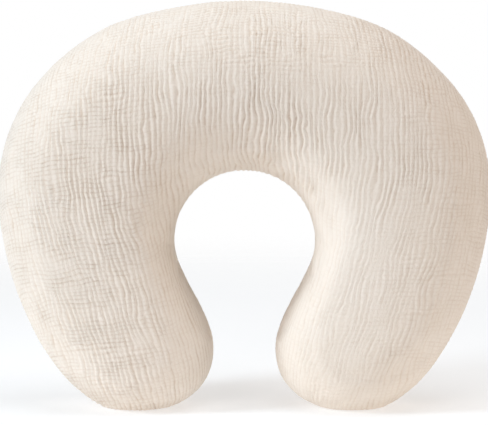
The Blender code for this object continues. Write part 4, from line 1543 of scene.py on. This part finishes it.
@dataclass
class Zip:
    """The zip along the crown: woven tapes, coils of nylon, stops, slider and pull tab."""

    form: PillowForm
    seam_y: float = 0.032
    tape_length: float = 0.261
    tape_edges: tuple[float, float] = (0.0008, 0.0140)
    tape_heights: tuple[float, float] = (-0.0023, -0.0016)
    coil_length: float = 0.2354
    coil_edges: tuple[float, float] = (0.0006, 0.0030)
    coil_heights: tuple[float, float] = (-0.0013, 0.0009)
    pitch: float = 0.0014
    strand: float = 0.00034
    topstitch: float = 0.0092

    @property
    def drops(self) -> tuple[float, float]:
        """How far the edges of the flat strip lie below the crown's arc."""
        half = self.form.depth / 2
        edges = (self.form.strip_near / half, self.form.strip_far / half)
        return tuple(self.form.crown_width / 2 * (1 - math.sqrt(1 - edge * edge)) for edge in edges)

    @property
    def tilt(self) -> float:
        """Tilt of the flat strip, down towards the back."""
        return math.atan2(self.drops[1] - self.drops[0], self.form.strip_far - self.form.strip_near)

    @property
    def radius(self) -> float:
        """Radius on which the zip turns."""
        return self.form.crown_radius - sum(self.drops) / 2

    def place(self, length: np.ndarray, across: np.ndarray, up: np.ndarray) -> np.ndarray:
        """Points measured along the zip, across it to the back, and out of the cover."""
        angle = length / self.radius
        radius = self.radius - across * math.sin(self.tilt) + up * math.cos(self.tilt)
        y = self.seam_y + across * math.cos(self.tilt) + up * math.sin(self.tilt)
        z = self.form.crown_centre_z + radius * np.cos(angle)
        return np.stack(np.broadcast_arrays(radius * np.sin(angle), y, z), axis=-1)

    def tape(self, side: Side, wardrobe: Wardrobe) -> None:
        """Make one half of the tape, its edges rounded and with a slight ripple near its outer edge."""
        near, far = self.tape_edges
        low, high = self.tape_heights
        across = np.concatenate([np.linspace(near, far, 26), np.linspace(far, near, 26)])
        up = np.concatenate([np.full(26, high), np.full(26, low)])
        round_edge = np.minimum(np.abs(across - near), np.abs(far - across)) < 0.0001
        up = np.where(round_edge, (up + (low + high) / 2) / 2, up)
        length = np.linspace(-self.tape_length / 2, self.tape_length / 2, 240)
        wave = 0.00006 * np.sin(length[:, None] / 0.0011) * (np.abs(across - far) < 0.003)
        points = self.place(length[:, None], side.value * across[None], up[None] + wave - 0.00006)
        walked = np.append(across, across[0])
        cloth = np.stack(np.broadcast_arrays(length[:, None], walked[None]), axis=-1)
        maps = {"OFBake": corner_values(bake_grid(240, 53)), "cloth": corner_values(cloth)}
        word = side.name.lower()
        piece = make_mesh(f"woven_tape_{word}", points.reshape(-1, 3), grid_faces(240, 52, True), maps)
        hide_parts(f"zip_tape_{word}")
        dress(piece, wardrobe.tape)

    def coil(self, side: Side, wardrobe: Wardrobe) -> None:
        """Make one half of the coil, a nylon strand wound flat, a quarter turn out of step with the other."""
        turns = int(self.coil_length / self.pitch)
        steps = np.arange(turns * 14 + 1)
        turned = steps * TURN / 14
        near, far = self.coil_edges
        low, high = self.coil_heights
        wide, tall = (far - near) / 2 - self.strand, (high - low) / 2 - self.strand
        cosine, sine = np.cos(turned), np.sin(turned)
        across = (near + far) / 2 + wide * np.sign(cosine) * np.abs(cosine) ** 0.55
        up = (low + high) / 2 + tall * np.sign(sine) * np.abs(sine) ** 0.55
        shift = self.pitch / 4 if side is Side.BACK else 0.0
        length = -self.coil_length / 2 + steps / 14 * self.pitch + shift
        radii = self.strand * (1 + 0.18 * (across < near + 0.0007))
        path = self.place(length, side.value * across, up)
        piece = sweep(f"wound_coil_{side.name.lower()}", path, radii, 7)
        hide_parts(f"zip_coil_{side.name.lower()}")
        dress(piece, wardrobe.nylon)

    def stitches(self, side: Side, panels: Sequence[bpy.types.Object], wardrobe: Wardrobe) -> None:
        """Sew the cover to one half of the tape."""
        length = np.arange(-self.tape_length / 2, self.tape_length / 2, 0.0004)
        beat = length / 0.0030 * math.pi
        across = np.full(len(length), side.value * self.topstitch)
        smooth = self.place(length, across, np.zeros(len(length)))
        outwards = unit(self.place(length, across, np.full(len(length), 0.001)) - smooth)
        bumps = np.pad(cover_heights(panels, smooth, outwards), 4, mode="edge")
        bumps = np.convolve(bumps, np.ones(9) / 9, "valid")
        points = smooth + outwards * (bumps + 0.00022 * np.abs(np.sin(beat)) - 0.00006)[:, None]
        radii = 0.00026 * (0.55 + 0.45 * np.abs(np.sin(beat)))
        piece = sweep(f"zip_topstitch_{side.name.lower()}", points, radii, 6)
        dress(piece, wardrobe.thread)

    def build(self, panels: Sequence[bpy.types.Object], wardrobe: Wardrobe) -> None:
        """Make the zip's soft and wound pieces, and dress its hard ones.

        Args:
            panels: the cover's panels.
            wardrobe: the finishes.
        """
        for side in Side:
            self.tape(side, wardrobe)
            self.coil(side, wardrobe)
            self.stitches(side, panels, wardrobe)
        for node in ("zip_top_stop_front", "zip_top_stop_back", "zip_bottom_stop"):
            self.dress_node(node, wardrobe.nylon)
        for node in ("zip_slider", "zip_pull_tab"):
            self.dress_node(node, wardrobe.enamel)

    @staticmethod
    def dress_node(node: str, material: bpy.types.Material) -> None:
        """Give a hard part of the model its finish."""
        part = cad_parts[node]
        for slot in part.material_slots:
            slot.material = material
        LOG.info("%s: %s", node, material.name)


@dataclass
class Studio:
    """A white floor, soft lights and the camera."""

    @staticmethod
    def lamp(
        name: str, place: Sequence[float], size: float, power: float, colour: Sequence[float]
    ) -> None:
        """Hang a soft square lamp that faces the pillow."""
        data = bpy.data.lights.new(name, "AREA")
        data.shape = "SQUARE"
        data.size = size
        data.energy = power
        data.color = colour
        made = bpy.data.objects.new(name, data)
        made.location = place
        made.visible_camera = False
        aim = Vector((0, 0, 0.2)) - Vector(place)
        made.rotation_euler = aim.to_track_quat("-Z", "Y").to_euler()
        bpy.context.scene.collection.objects.link(made)

    def floor(self) -> None:
        """Lay a round pale floor that fades into the backdrop."""
        rings, turns = 60, 96
        radii = np.linspace(0, 1, rings) ** 1.5 * 3.0
        angles = np.arange(turns) * TURN / turns
        across, back = radii[:, None] * np.cos(angles), radii[:, None] * np.sin(angles)
        flat = np.stack([across, back, np.zeros((rings, turns))], axis=-1)
        made = make_mesh("studio_floor", flat.reshape(-1, 3), grid_faces(rings, turns, True)[:, ::-1])
        finish = Finish("studio floor", (0.54, 0.54, 0.54), 0.85)
        material, board, shader = finish.start()
        shader.inputs["Specular IOR Level"].default_value = 0.1
        shader.inputs["Emission Color"].default_value = (1.0, 1.0, 1.0, 1.0)
        shader.inputs["Emission Strength"].default_value = 0.49
        place = board.node("ShaderNodeTexCoord").outputs["Object"]
        length = board.node("ShaderNodeVectorMath", operation="LENGTH")
        board.feed(length.inputs[0], place)
        board.feed(shader.inputs["Alpha"], board.ramp(length.outputs["Value"], 0.7, 1.6, 1.0, 0.0))
        made.data.materials.append(material)

    def world(self) -> None:
        """Surround the scene with soft light, before a white backdrop."""
        world = bpy.data.worlds.new("studio")
        world.use_nodes = True
        bpy.context.scene.world = world
        board = Board(world.node_tree)
        soft = world.node_tree.nodes["Background"]
        soft.inputs["Color"].default_value = (1.0, 0.80, 0.64, 1.0)
        soft.inputs["Strength"].default_value = 0.13
        backdrop = board.node("ShaderNodeBackground")
        backdrop.inputs["Color"].default_value = (1.0, 1.0, 1.0, 1.0)
        backdrop.inputs["Strength"].default_value = 1.0
        seen = board.node("ShaderNodeLightPath").outputs["Is Camera Ray"]
        both = board.node("ShaderNodeMixShader")
        board.feed(both.inputs[0], seen)
        board.feed(both.inputs[1], soft.outputs[0])
        board.feed(both.inputs[2], backdrop.outputs[0])
        board.feed(world.node_tree.nodes["World Output"].inputs["Surface"], both.outputs[0])

    def camera(self) -> None:
        """Set the camera in front, a little above the pillow."""
        data = bpy.data.cameras.new("camera")
        data.lens = 153.0
        data.sensor_width = 36.0
        data.clip_start, data.clip_end = 0.05, 20.0
        made = bpy.data.objects.new("camera", data)
        bpy.context.scene.collection.objects.link(made)
        tilt = math.radians(6)
        frame_width = 488 * 0.001058
        distance = frame_width / 2 / (data.sensor_width / 2 / data.lens)
        target = Vector((-0.0005, 0.0, 0.2070))
        made.location = target + Vector((0, -math.cos(tilt), math.sin(tilt))) * distance
        made.rotation_euler = (target - made.location).to_track_quat("-Z", "Y").to_euler()
        bpy.context.scene.camera = made

    def build(self) -> None:
        """Set up the whole studio."""
        self.floor()
        self.world()
        self.camera()
        self.lamp("key", (-2.4, -0.95, 1.5), 0.7, 55.0, (0.74, 0.88, 1.0))
        self.lamp("front", (-1.2, -2.2, 1.2), 1.2, 15.5, (0.98, 0.97, 1.0))
        self.lamp("right", (2.2, -0.35, 0.6), 1.0, 12.5, (1.0, 0.87, 0.77))
        self.lamp("overhead", (0.3, -0.3, 2.2), 1.4, 22.5, (0.90, 0.95, 1.0))
        self.lamp("behind", (0.6, 2.0, 1.3), 1.4, 12.0, (0.92, 0.96, 1.0))
        bpy.context.scene.view_settings.view_transform = "Standard"


def main() -> None:
    """Build the pillow's pieces in order, then the studio."""
    logging.basicConfig(level=logging.INFO, format="%(message)s")
    size = CAD_HIGH - CAD_LOW
    form = PillowForm(size.x, CAD_HIGH.z, size.y)
    wardrobe = Wardrobe()
    Cushion(form).build(wardrobe)
    cover = Cover(form)
    cover.build(wardrobe)
    Zip(form).build(list(cover.layers.values()), wardrobe)
    Studio().build()


if __name__ == "__main__":
    main()
